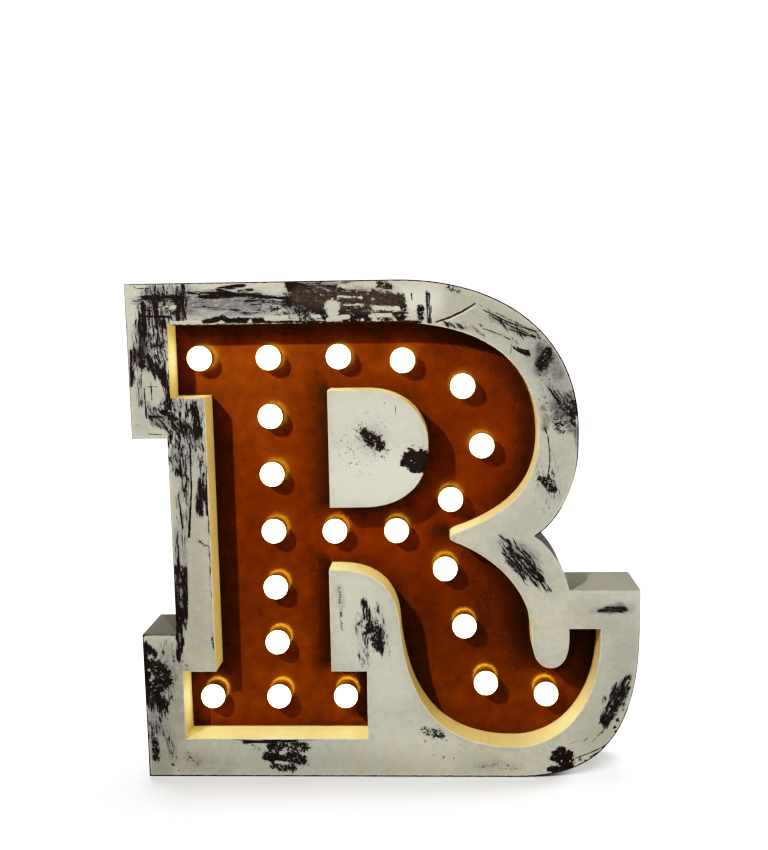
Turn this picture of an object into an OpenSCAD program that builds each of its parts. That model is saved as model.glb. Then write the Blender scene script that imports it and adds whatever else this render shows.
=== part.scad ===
// Light-up letter R: a sheet-metal channel letter with a recessed, rust-finished
// reflector, a row of globe lamps and a closed back.
// Frame: +X right, +Z up, the lit front faces -Y. The origin is at the middle of
// the footprint, on the surface that the letter stands on.

/* [Letter] */
// Height of the letter; the outline scales with it
letter_h = 1000; // [950:10:1200]
// Depth of the letter from front face to rear rim
depth = 170; // [165:1:220]
// Thickness of all the sheet metal
sheet = 0.8; // [0.8:0.1:1.5]
// Depth of the lit tray, front face to reflector
tray = 80; // [78:1:84]
// Width of the flanges that the reflector is riveted to
flange = 15; // [13:1:18]
// Distance of the rear panel's outside from the rear rim
rear_inset = 8; // [6:1:10]

/* [Lamps] */
// Diameter of a lamp's globe
globe_d = 48; // [44:1:50]
// Distance of a globe's centre from the front face
globe_y = 53.5; // [52:0.5:54]
// Diameter of the lamp's screw cap
cap_d = 13.9; // [13.5:0.1:14]
// Outside diameter of the lampholder barrel
holder_d = 28; // [27:1:30]
// Outside diameter of the ring nut on a lampholder
collar_d = 38; // [36:1:40]
// Thickness of the ring nut
collar_t = 3.5; // [3:0.5:4]

/* [Back] */
// Diameter of the two wall-hanging holes
hang_d = 10; // [8:0.5:12]
// Tilt of the switch rocker to each side, degrees
rocker_tilt = 12; // [8:1:14]
// Diameter of the panel screws
screw_d = 4; // [3.5:0.5:4]

/* [Hidden] */
$fn = 64;
k = letter_h / 1000;
letter_w = 1000 * k;
y0 = -depth / 2;
rear_y = depth - rear_inset - sheet;   // inside of the rear panel, from the front
cap_y = globe_y + 31;                  // where the glass meets the screw cap
holder_front = tray - 3;
mouth_d = 23.2;                        // opening of the lampholder around the lamp's neck
back_y = tray + sheet;                 // rear side of the reflector
holder_back = 125;
wire_y = back_y + 11;
rivet_d = 3.2;
switch_p = [203, 162];
inlet_p = [142, 162];

// Points along a cubic curve, without its last point
function bez(a, b, c, d, n) = [for (i = [0 : n - 1]) let (t = i / n, s = 1 - t)
  s * s * s * a + 3 * s * s * t * b + 3 * s * t * t * c + t * t * t * d];

// Outside of the letter: two serifs, stem, bowl, crotch, leg and foot
outline = concat(
  [[0, 1000]],
  bez([520, 1000], [730, 1000], [875, 890], [875, 705], 28),
  [[875, 705]],
  bez([875, 675], [875, 610], [842, 528], [792, 500], 16),
  bez([792, 500], [828, 470], [852, 435], [860, 390], 12),
  [[860, 390], [1000, 390]],
  bez([1000, 300], [1000, 110], [940, 0], [760, 0], 28),
  [[760, 0], [0, 0], [0, 302], [70, 302], [70, 700], [0, 700]]);

// Rim of the lit tray, about 80 inside the outline
tray_rim = concat(
  [[80, 920]],
  bez([500, 920], [680, 920], [797, 850], [797, 695], 26),
  bez([797, 695], [797, 590], [730, 540], [635, 507], 16),
  bez([635, 507], [622, 502], [620, 494], [632, 490], 6),
  bez([632, 490], [720, 455], [787, 385], [787, 293], 18),
  bez([787, 293], [787, 250], [803, 230], [825, 230], 10),
  bez([825, 230], [848, 230], [861, 252], [861, 290], 10),
  [[861, 290], [861, 311], [923, 311]],
  bez([923, 290], [923, 150], [850, 64], [754, 64], 20),
  bez([754, 64], [600, 64], [535, 160], [523, 320], 22),
  bez([523, 320], [519, 400], [470, 434], [400, 434], 14),
  [[400, 434], [383, 434], [383, 224], [455, 224], [455, 81], [80, 81],
   [80, 224], [148, 224], [148, 779], [80, 779]]);

// Rim of the letter's counter, the island inside the bowl
counter_rim = concat(
  [[388, 790]],
  bez([460, 790], [535, 790], [583, 745], [583, 680], 18),
  bez([583, 680], [583, 600], [530, 560], [455, 560], 18),
  [[455, 560], [388, 560]]);

// Lamp places: the stem from the foot up, then serifs, bowl, cross and leg
stem_pitch = 116.4;
lamps = concat(
  [for (i = [0 : 6]) [268, 154.5 + i * stem_pitch]],
  [[129.5, 155], [407, 155], [130.5, 853.2], [407, 853.2],
   [533.5, 844], [651.5, 792], [689, 673.5], [626.5, 566], [517, 503], [392, 503],
   [614.5, 423.5], [653, 303.5], [696.5, 182.5], [820, 159]]);

// Lamp pairs that a wiring link joins; the link from the first lamp to the left
// foot lamp is cut by the terminal block
links = [[0, 1], [1, 2], [2, 3], [3, 4], [4, 5], [5, 6], [0, 8], [6, 9], [6, 10],
  [10, 11], [11, 12], [12, 13], [13, 14], [3, 16], [16, 15], [15, 17], [17, 18],
  [18, 19], [19, 20]];

// Rivets on the tray flange and on the counter flange, 8 off the rim
tray_rivets = [[150, 928], [320, 928], [480, 928], [72, 850], [114, 771], [140, 660],
  [140, 500], [140, 340], [110, 232], [72, 150], [150, 73], [270, 73], [390, 73],
  [463, 150], [420, 232], [391, 300], [391, 400], [890, 319]];
counter_rivets = [[396, 620], [396, 730], [430, 782], [430, 568]];

// Tabs for the rear panel: place on the outside wall, turn of the wall's inside
// (0: wall on the left, 90: below, 180: on the right, 270: above)
tabs = [[0, 850, 0], [0, 80, 0], [70, 420, 0], [70, 580, 0], [1000, 345, 180],
  [875, 690, 180], [60, 0, 90], [320, 0, 90], [530, 0, 90], [720, 0, 90],
  [150, 1000, 270], [330, 1000, 270], [500, 1000, 270], [925, 390, 270]];

// Letter plane to the model: x about the middle of the letter
function gx(u) = u * k - letter_w / 2;
function gz(v) = v * k;

module glyph(points) polygon([for (p = points) [gx(p[0]), gz(p[1])]]);

// A flat shape of the letter plane, from depth a to depth b behind the front
module slab(a, b) translate([0, y0 + b, 0]) rotate([90, 0, 0]) linear_extrude(b - a) children();

// A round rod along Y at a place of the letter plane
module rod(p, a, b, d) translate([gx(p[0]), y0 + b, gz(p[1])]) rotate([90, 0, 0]) cylinder(h = b - a, d = d);

// A block centred on a place of the letter plane
module block(p, w, h, a, b) translate([gx(p[0]) - w / 2, y0 + a, gz(p[1]) - h / 2]) cube([w, b - a, h]);

module front_face() color("ivory") slab(0, sheet) difference() { glyph(outline); glyph(tray_rim); }

module outer_return() color("lightgray") slab(sheet, depth) difference() {
  glyph(outline);
  offset(delta = -sheet) glyph(outline);
}

module inner_return() color("khaki") {
  difference() {
    union() {
      slab(sheet, tray - sheet) difference() { offset(delta = sheet) glyph(tray_rim); glyph(tray_rim); }
      slab(tray - sheet, tray) difference() { offset(delta = flange) glyph(tray_rim); glyph(tray_rim); }
    }
    for (p = tray_rivets) rod(p, tray - 3, tray + 1, rivet_d + 0.1);
  }
}

module counter_face() color("ivory") slab(0, sheet) glyph(counter_rim);

module counter_return() color("khaki") {
  difference() {
    union() {
      slab(sheet, tray - sheet) difference() { glyph(counter_rim); offset(delta = -sheet) glyph(counter_rim); }
      slab(tray - sheet, tray) difference() { glyph(counter_rim); offset(delta = -flange) glyph(counter_rim); }
    }
    for (p = counter_rivets) rod(p, tray - 3, tray + 1, rivet_d + 0.1);
  }
}

module reflector_panel() color("sienna") difference() {
  slab(tray, back_y) offset(delta = flange) glyph(tray_rim);
  for (p = lamps) rod(p, tray - 1, back_y + 1, holder_d + 0.6);
  for (p = concat(tray_rivets, counter_rivets)) rod(p, tray - 1, back_y + 1, rivet_d + 0.1);
}

// A rivet with a flat head on each side of the two sheets
module rivet(p) {
  rod(p, tray - sheet - 1, tray - sheet, 2 * rivet_d);
  rod(p, tray - sheet, back_y, rivet_d);
  rod(p, back_y, back_y + 1, 2 * rivet_d);
}

module reflector_rivets() color("silver") for (p = concat(tray_rivets, counter_rivets)) rivet(p);

// A lampholder: barrel with a wide mouth and a socket for the screw cap, rear shoulder
// behind the reflector
module lampholder(p) difference() {
  union() {
    rod(p, holder_front, holder_back, holder_d);
    rod(p, back_y, back_y + 4, collar_d - 2);
  }
  rod(p, holder_front - 1, cap_y + 0.5, mouth_d);
  rod(p, cap_y, cap_y + 23, cap_d + 1.6);
}

module lampholders() color("dimgray") for (p = lamps) lampholder(p);

// A ring nut with a bevelled front edge
module collar(p) translate([gx(p[0]), y0 + tray, gz(p[1])]) rotate([90, 0, 0]) rotate_extrude()
  polygon([[holder_d / 2 + 0.3, 0], [collar_d / 2, 0], [collar_d / 2, collar_t - 1.5],
    [collar_d / 2 - 1.5, collar_t], [holder_d / 2 + 0.3, collar_t]]);

module socket_collars() color("dimgray") for (p = lamps) collar(p);

// A globe lamp: opal globe with a short neck, and a metal screw cap with its contact
module lamp(i) {
  p = lamps[i];
  color("white") translate([gx(p[0]), y0 + globe_y, gz(p[1])]) union() {
    sphere(d = globe_d);
    translate([0, cap_y - globe_y, 0]) rotate([90, 0, 0]) cylinder(h = 11, r1 = cap_d / 2 + 1.2, r2 = 12.5);
  }
  color("silver") union() {
    rod(p, cap_y, cap_y + 20, cap_d);
    rod(p, cap_y + 20, cap_y + 22.5, 5);
  }
}

module bulb_01() lamp(0);
module bulb_02() lamp(1);
module bulb_03() lamp(2);
module bulb_04() lamp(3);
module bulb_05() lamp(4);
module bulb_06() lamp(5);
module bulb_07() lamp(6);
module bulb_08() lamp(7);
module bulb_09() lamp(8);
module bulb_10() lamp(9);
module bulb_11() lamp(10);
module bulb_12() lamp(11);
module bulb_13() lamp(12);
module bulb_14() lamp(13);
module bulb_15() lamp(14);
module bulb_16() lamp(15);
module bulb_17() lamp(16);
module bulb_18() lamp(17);
module bulb_19() lamp(18);
module bulb_20() lamp(19);
module bulb_21() lamp(20);

// Everything on a tab is drawn for a wall on the left and turned into place
module at_tab(t) translate([gx(t[0]), y0, gz(t[1])]) rotate([0, -t[2], 0]) children();

// A vent slot with round ends
module vent(p) {
  block(p, 8, 52, rear_y - 1, rear_y + sheet + 1);
  rod([p[0], p[1] + 26 / k], rear_y - 1, rear_y + sheet + 1, 8);
  rod([p[0], p[1] - 26 / k], rear_y - 1, rear_y + sheet + 1, 8);
}

module rear_panel() color("dimgray") difference() {
  slab(rear_y, rear_y + sheet) offset(delta = -(sheet + 0.6)) glyph(outline);
  for (t = tabs) at_tab(t) translate([sheet + 11, rear_y + sheet + 1, 0]) rotate([90, 0, 0]) cylinder(h = sheet + 2, d = screw_d + 0.6);
  for (u = [271, 671]) rod([u, 930], rear_y - 1, rear_y + sheet + 1, hang_d);
  for (i = [0 : 6]) { vent([240 + i * 24, 800]); vent([560 + i * 24, 800]); vent([500 + i * 24, 170]); }
  block(switch_p, 13.3, 19.2, rear_y - 1, rear_y + sheet + 1);
  block(inlet_p, 20.4, 27.6, rear_y - 1, rear_y + sheet + 1);
  for (s = [-20, 20]) rod([inlet_p[0], inlet_p[1] + s / k], rear_y - 1, rear_y + sheet + 1, 3.4);
  rod([142, 232], rear_y - 1, rear_y + sheet + 1, 4.3);
}

// An angle tab: one leg on the wall, one under the rear panel with a tapped hole
module tab() difference() {
  union() {
    translate([sheet, rear_y - 20, -12]) cube([2, 20, 24]);
    translate([sheet, rear_y - 2, -12]) cube([20, 2, 24]);
  }
  translate([sheet + 11, rear_y + 1, 0]) rotate([90, 0, 0]) cylinder(h = 4, d = screw_d);
}

module panel_tabs() color("gray") for (t = tabs) at_tab(t) tab();

// A pan-head screw through the panel into its tab
module panel_screw() {
  translate([sheet + 11, rear_y + sheet + 2.4, 0]) rotate([90, 0, 0]) difference() {
    cylinder(h = 2.4, d = 2 * screw_d);
    translate([-screw_d, -0.6, -1]) cube([2 * screw_d, 1.2, 2.2]);
  }
  translate([sheet + 11, rear_y + sheet, 0]) rotate([90, 0, 0]) cylinder(h = sheet + 6, d = screw_d - 0.1);
}

module panel_screws() color("silver") for (t = tabs) at_tab(t) panel_screw();

// Appliance inlet: flange on the panel, body through it, cavity open to the rear
module power_inlet() color("black") difference() {
  union() {
    block(inlet_p, 24, 50, rear_y + sheet, rear_y + sheet + 3);
    block(inlet_p, 20, 27.2, rear_y - 26, rear_y + sheet);
  }
  block(inlet_p, 16.6, 24.2, rear_y + sheet - 15, rear_y + sheet + 4);
  for (s = [-20, 20]) rod([inlet_p[0], inlet_p[1] + s / k], rear_y, rear_y + sheet + 4, 3.4);
}

// Three blades standing on the cavity's floor
module inlet_pins() color("silver") for (q = [[-1.5, -7], [3, 0], [-1.5, 7]])
  block([inlet_p[0] + q[0] / k, inlet_p[1] + q[1] / k], 4, 2, rear_y + sheet - 15, rear_y + sheet - 1);

module inlet_screws() color("silver") for (s = [-20, 20]) {
  p = [inlet_p[0], inlet_p[1] + s / k];
  rod(p, rear_y + sheet + 3, rear_y + sheet + 5, 5.6);
  rod(p, rear_y - 4, rear_y + sheet + 3, 3);
  translate([gx(p[0]), y0 + rear_y, gz(p[1])]) rotate([90, 0, 0]) difference() {
    cylinder(h = 2.4, d = 6.3, $fn = 6);
    translate([0, 0, -1]) cylinder(h = 5, d = 3.1);
  }
}

// Rocker switch: bezel and body in one, with bores for the rocker's trunnions
module switch_housing() color("black") difference() {
  union() {
    block(switch_p, 15, 21, rear_y + sheet, rear_y + sheet + 2);
    block(switch_p, 12.9, 18.8, rear_y - 15, rear_y + sheet);
  }
  block(switch_p, 9.6, 14.6, rear_y - 8, rear_y + sheet + 3);
  translate([gx(switch_p[0]) - 5.6, y0 + rear_y + sheet - 1, gz(switch_p[1])]) rotate([0, 90, 0]) cylinder(h = 11.2, d = 3.1);
}

// The rocker stands tilted, in its on position
module switch_rocker() color("darkred") translate([gx(switch_p[0]), y0 + rear_y + sheet - 1, gz(switch_p[1])])
  rotate([rocker_tilt, 0, 0]) union() {
    translate([-4.4, 0, 0]) rotate([90, 0, 90]) linear_extrude(8.8) polygon([[-1, -6], [3, -6], [2, 0], [3, 6], [-1, 6], [-4, 0]]);
    translate([-5.4, 0, 0]) rotate([0, 90, 0]) cylinder(h = 10.8, d = 3);
  }

module terminal_block() color("whitesmoke") block(switch_p, 30, 20, back_y, back_y + 16);

// Fixed leads: inlet to switch, and switch to terminal block
module supply_leads() color("dimgray") {
  translate([gx(inlet_p[0]) + 10, y0 + rear_y - 12, gz(inlet_p[1])]) rotate([0, 90, 0])
    cylinder(h = gx(switch_p[0]) - gx(inlet_p[0]) - 10 - 6.45, d = 5);
  rod(switch_p, back_y + 16, rear_y - 15, 6);
}

// A straight two-core link between the barrels of two lampholders
module link(a, b) {
  dx = gx(b[0]) - gx(a[0]);
  dz = gz(b[1]) - gz(a[1]);
  len = sqrt(dx * dx + dz * dz);
  translate([gx(a[0]), y0 + wire_y, gz(a[1])]) rotate([0, atan2(dx, dz), 0])
    translate([0, 0, holder_d / 2]) cylinder(h = len - holder_d, d = 6);
}

module wiring_links() color("dimgray") {
  for (l = links) link(lamps[l[0]], lamps[l[1]]);
  translate([gx(lamps[7][0]) + holder_d / 2, y0 + wire_y, gz(162)]) rotate([0, 90, 0])
    cylinder(h = gx(switch_p[0]) - 15 - gx(lamps[7][0]) - holder_d / 2, d = 6);
  translate([gx(switch_p[0]) + 15, y0 + wire_y, gz(162)]) rotate([0, 90, 0])
    cylinder(h = gx(lamps[0][0]) - holder_d / 2 - gx(switch_p[0]) - 15, d = 6);
}

// Earth stud through the panel: head outside, nut inside
module earth_stud() color("goldenrod") {
  p = [142, 232];
  rod(p, rear_y + sheet, rear_y + sheet + 2.4, 8);
  rod(p, rear_y - 12, rear_y + sheet, 4);
  translate([gx(p[0]), y0 + rear_y, gz(p[1])]) rotate([90, 0, 0]) difference() {
    cylinder(h = 3.2, d = 8, $fn = 6);
    translate([0, 0, -1]) cylinder(h = 6, d = 4.1);
  }
}

front_face();
outer_return();
inner_return();
counter_face();
counter_return();
reflector_panel();
reflector_rivets();
lampholders();
socket_collars();
bulb_01();
bulb_02();
bulb_03();
bulb_04();
bulb_05();
bulb_06();
bulb_07();
bulb_08();
bulb_09();
bulb_10();
bulb_11();
bulb_12();
bulb_13();
bulb_14();
bulb_15();
bulb_16();
bulb_17();
bulb_18();
bulb_19();
bulb_20();
bulb_21();
rear_panel();
panel_tabs();
panel_screws();
power_inlet();
inlet_pins();
inlet_screws();
switch_housing();
switch_rocker();
terminal_block();
supply_leads();
wiring_links();
earth_stud();
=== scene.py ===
"""Light-up letter R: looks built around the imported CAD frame."""
import math

import bpy
import numpy as np
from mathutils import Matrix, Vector
from mathutils.geometry import delaunay_2d_cdt


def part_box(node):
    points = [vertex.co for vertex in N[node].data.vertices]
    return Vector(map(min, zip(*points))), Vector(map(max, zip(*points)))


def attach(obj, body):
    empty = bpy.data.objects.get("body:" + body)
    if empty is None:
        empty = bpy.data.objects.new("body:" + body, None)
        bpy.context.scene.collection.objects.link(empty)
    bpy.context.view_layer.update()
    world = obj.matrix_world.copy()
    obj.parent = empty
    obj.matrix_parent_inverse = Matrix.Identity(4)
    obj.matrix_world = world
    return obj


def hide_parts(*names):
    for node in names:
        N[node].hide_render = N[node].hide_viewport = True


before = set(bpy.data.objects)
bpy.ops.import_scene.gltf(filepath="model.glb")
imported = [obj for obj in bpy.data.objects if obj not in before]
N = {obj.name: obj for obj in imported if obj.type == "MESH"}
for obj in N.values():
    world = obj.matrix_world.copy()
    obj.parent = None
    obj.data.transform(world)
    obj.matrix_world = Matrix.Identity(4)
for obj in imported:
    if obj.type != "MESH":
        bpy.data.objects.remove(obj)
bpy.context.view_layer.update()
scene = bpy.context.scene

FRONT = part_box("front_face")[0].y      # plane of the letter's front
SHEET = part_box("front_face")[1].y - FRONT
HALF_W = 0.5                           # letter plane: u = x + HALF_W, in mm below

# ------------------------------------------------------------------ small helpers


def lin(r, g, b, a=1.0):
    """sRGB 0-255 to linear."""
    def f(c):
        c /= 255.0
        return c / 12.92 if c <= 0.04045 else ((c + 0.055) / 1.055) ** 2.4
    return (f(r), f(g), f(b), a)


class Mat:
    """A node material, written as short expressions."""

    def __init__(self, name):
        self.m = bpy.data.materials.new(name)
        self.m.use_nodes = True
        self.t = self.m.node_tree
        self.t.nodes.clear()
        out = self.t.nodes.new("ShaderNodeOutputMaterial")
        self.bsdf = self.t.nodes.new("ShaderNodeBsdfPrincipled")
        self.t.links.new(self.bsdf.outputs[0], out.inputs[0])
        self.co = self.t.nodes.new("ShaderNodeTexCoord").outputs["Object"]
        self._sep = None

    def put(self, socket, value):
        if isinstance(value, bpy.types.NodeSocket):
            self.t.links.new(value, socket)
        else:
            socket.default_value = value

    def set(self, **values):
        for k, v in values.items():
            self.put(self.bsdf.inputs[k.replace("_", " ")], v)

    def axis(self, i):
        if self._sep is None:
            n = self.t.nodes.new("ShaderNodeSeparateXYZ")
            self.put(n.inputs[0], self.co)
            self._sep = n
        return self._sep.outputs[i]

    def math(self, op, a, b=0.0, c=None, clamp=False):
        n = self.t.nodes.new("ShaderNodeMath")
        n.operation = op
        n.use_clamp = clamp
        self.put(n.inputs[0], a)
        self.put(n.inputs[1], b)
        if c is not None:
            self.put(n.inputs[2], c)
        return n.outputs[0]

    def add(self, a, b):
        return self.math("ADD", a, b)

    def mul(self, a, b):
        return self.math("MULTIPLY", a, b)

    def most(self, *xs):
        r = xs[0]
        for x in xs[1:]:
            r = self.math("MAXIMUM", r, x)
        return r

    def step(self, x, lo, hi, a=0.0, b=1.0, smooth=True):
        n = self.t.nodes.new("ShaderNodeMapRange")
        n.interpolation_type = "SMOOTHSTEP" if smooth else "LINEAR"
        n.clamp = True
        self.put(n.inputs["Value"], x)
        self.put(n.inputs["From Min"], lo)
        self.put(n.inputs["From Max"], hi)
        self.put(n.inputs["To Min"], a)
        self.put(n.inputs["To Max"], b)
        return n.outputs["Result"]

    def scale(self, sx, sy, sz, vec=None, loc=(0, 0, 0)):
        n = self.t.nodes.new("ShaderNodeMapping")
        self.put(n.inputs["Vector"], vec or self.co)
        n.inputs["Scale"].default_value = (sx, sy, sz)
        n.inputs["Location"].default_value = loc
        return n.outputs[0]

    def warp(self, scale, amount):
        """Coordinates pushed about by noise, so that marks wander."""
        n = self.t.nodes.new("ShaderNodeTexNoise")
        self.put(n.inputs["Vector"], self.co)
        n.inputs["Scale"].default_value = scale
        n.inputs["Detail"].default_value = 2.0
        v = self.t.nodes.new("ShaderNodeVectorMath")
        v.operation = "MULTIPLY_ADD"
        self.put(v.inputs[0], n.outputs["Color"])
        v.inputs[1].default_value = (amount, amount, amount)
        self.put(v.inputs[2], self.co)
        return v.outputs[0]

    def along(self, deg, lengthwise, across, seed=0.0, vec=None):
        """Letter-plane coordinates turned by deg and stretched, for streaks in that direction."""
        c, s = math.cos(math.radians(deg)), math.sin(math.radians(deg))
        parts = []
        for e, k in (((c, 0, s), lengthwise), ((-s, 0, c), across)):
            n = self.t.nodes.new("ShaderNodeVectorMath")
            n.operation = "DOT_PRODUCT"
            self.put(n.inputs[0], vec or self.co)
            n.inputs[1].default_value = tuple(x * k for x in e)
            parts.append(n.outputs["Value"])
        n = self.t.nodes.new("ShaderNodeCombineXYZ")
        self.put(n.inputs[0], parts[0])
        self.put(n.inputs[1], parts[1])
        n.inputs[2].default_value = seed
        return n.outputs[0]

    def noise(self, vec, scale=1.0, detail=4.0, rough=0.55, distort=0.0):
        n = self.t.nodes.new("ShaderNodeTexNoise")
        self.put(n.inputs["Vector"], vec)
        n.inputs["Scale"].default_value = scale
        n.inputs["Detail"].default_value = detail
        n.inputs["Roughness"].default_value = rough
        n.inputs["Distortion"].default_value = distort
        return n.outputs["Fac"]

    def voronoi(self, vec, scale=1.0, feature="F1", rand=1.0):
        n = self.t.nodes.new("ShaderNodeTexVoronoi")
        n.feature = feature
        self.put(n.inputs["Vector"], vec)
        n.inputs["Scale"].default_value = scale
        n.inputs["Randomness"].default_value = rand
        return n.outputs["Distance"]

    def attr(self, name):
        n = self.t.nodes.new("ShaderNodeAttribute")
        n.attribute_name = name
        return n

    def rgba(self, name):
        n = self.attr(name)
        s = self.t.nodes.new("ShaderNodeSeparateColor")
        self.put(s.inputs[0], n.outputs["Color"])
        return s.outputs[0], s.outputs[1], s.outputs[2], n.outputs["Alpha"]

    def mix(self, fac, a, b, mode="MIX"):
        n = self.t.nodes.new("ShaderNodeMix")
        n.data_type = "RGBA"
        n.blend_type = mode
        n.clamp_factor = True
        self.put(n.inputs[0], fac)
        self.put(n.inputs[6], a)
        self.put(n.inputs[7], b)
        return n.outputs[2]

    def mixf(self, fac, a, b):
        n = self.t.nodes.new("ShaderNodeMix")
        n.data_type = "FLOAT"
        self.put(n.inputs[0], fac)
        self.put(n.inputs[2], a)
        self.put(n.inputs[3], b)
        return n.outputs[0]

    def ramp(self, fac, *stops):
        n = self.t.nodes.new("ShaderNodeValToRGB")
        self.put(n.inputs[0], fac)
        e = n.color_ramp.elements
        while len(e) < len(stops):
            e.new(0.5)
        for x, (pos, col) in zip(e, stops):
            x.position = pos
            x.color = col
        return n.outputs[0]

    def bump(self, height, distance, strength=1.0, normal=None):
        n = self.t.nodes.new("ShaderNodeBump")
        n.inputs["Strength"].default_value = strength
        n.inputs["Distance"].default_value = distance
        self.put(n.inputs["Height"], height)
        if normal is not None:
            self.put(n.inputs["Normal"], normal)
        return n.outputs[0]


def dress(node, *mats):
    me = N[node].data
    me.materials.clear()
    for m in mats:
        me.materials.append(m)


def soften(node, deg=28):
    """Smooth shading over the CAD facets that meet at less than deg, kept sharp elsewhere."""
    me = N[node].data
    nv, nl = len(me.vertices), len(me.loops)
    co = np.zeros(nv * 3)
    me.vertices.foreach_get("co", co)
    keys = np.round(co.reshape(-1, 3) * 1e5).astype(np.int64)
    _, ids = np.unique(keys, axis=0, return_inverse=True)
    ids = ids.ravel()
    npoly = len(me.polygons)
    fn = np.zeros(npoly * 3)
    me.polygons.foreach_get("normal", fn)
    fn = fn.reshape(-1, 3)
    start = np.zeros(npoly, np.int64)
    total = np.zeros(npoly, np.int64)
    area = np.zeros(npoly)
    me.polygons.foreach_get("loop_start", start)
    me.polygons.foreach_get("loop_total", total)
    me.polygons.foreach_get("area", area)
    lv = np.zeros(nl, np.int64)
    me.loops.foreach_get("vertex_index", lv)
    lp = np.repeat(np.arange(npoly), total)
    spot = ids[lv]
    order = np.argsort(spot, kind="stable")
    bounds = np.flatnonzero(np.diff(spot[order])) + 1
    normals = fn[lp].copy()
    limit = math.cos(math.radians(deg))
    for group in np.split(order, bounds):
        f = lp[group]
        n = fn[f]
        w = np.sqrt(area[f])[:, None] * n
        close = (n @ n.T) > limit
        s = close.astype(float) @ w
        ln = np.linalg.norm(s, axis=1, keepdims=True)
        normals[group] = np.where(ln > 1e-12, s / np.maximum(ln, 1e-12), n)
    me.polygons.foreach_set("use_smooth", np.ones(npoly, bool))
    me.normals_split_custom_set(normals)


# ------------------------------------------------------------------ outline of the faces


def flat_loops(node, y):
    """Ordered border loops of a node's flat side at depth y, as (x, z) arrays, outside loop first."""
    me = N[node].data
    seen = {}
    for p in me.polygons:
        vs = [me.vertices[i].co for i in p.vertices]
        if all(abs(v.y - y) < 2e-5 for v in vs):
            ks = [(round(v.x, 6), round(v.z, 6)) for v in vs]
            for a, b in zip(ks, ks[1:] + ks[:1]):
                seen[(a, b)] = True
    after = {a: b for a, b in seen if (b, a) not in seen}
    loops = []
    while after:
        first = next(iter(after))
        ring, at = [first], after.pop(first)
        while at != first:
            ring.append(at)
            at = after.pop(at)
        loops.append(np.array(ring))
    loops.sort(key=lambda r: -abs(area_of(r)))
    if area_of(loops[0]) < 0:
        loops = [r[::-1].copy() for r in loops]
    return loops


def area_of(r):
    a, b = r, np.roll(r, -1, 0)
    return 0.5 * float(np.sum(a[:, 0] * b[:, 1] - b[:, 0] * a[:, 1]))


def inset(r, d):
    """The loop moved by d to its left, which is the side with metal."""
    e = np.roll(r, -1, 0) - r
    e /= np.maximum(np.linalg.norm(e, axis=1, keepdims=True), 1e-12)
    n = np.stack([-e[:, 1], e[:, 0]], 1)
    before = np.roll(n, 1, 0)
    m = n + before
    k = np.maximum(np.sum(m * n, 1, keepdims=True), 0.35)
    return r + m / k * d


def distance(P, loops, closed=True):
    """Distance of each point from the nearest of the loops' edges."""
    best = np.full(len(P), 1e9)
    for r in loops:
        a, b = r, np.roll(r, -1, 0)
        if not closed:
            a, b = a[:-1], b[:-1]
        for p, q in zip(a, b):
            ab = q - p
            t = np.clip(((P - p) @ ab) / max(ab @ ab, 1e-18), 0, 1)
            np.minimum(best, np.hypot(*(P - p - t[:, None] * ab).T), out=best)
    return best


def inside(P, loops):
    """Even-odd test."""
    odd = np.zeros(len(P), bool)
    for r in loops:
        for (x1, z1), (x2, z2) in zip(r, np.roll(r, -1, 0)):
            if z1 == z2:
                continue
            hit = (z1 > P[:, 1]) != (z2 > P[:, 1])
            odd ^= hit & (P[:, 0] < (x2 - x1) * (P[:, 1] - z1) / (z2 - z1) + x1)
    return odd


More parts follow.
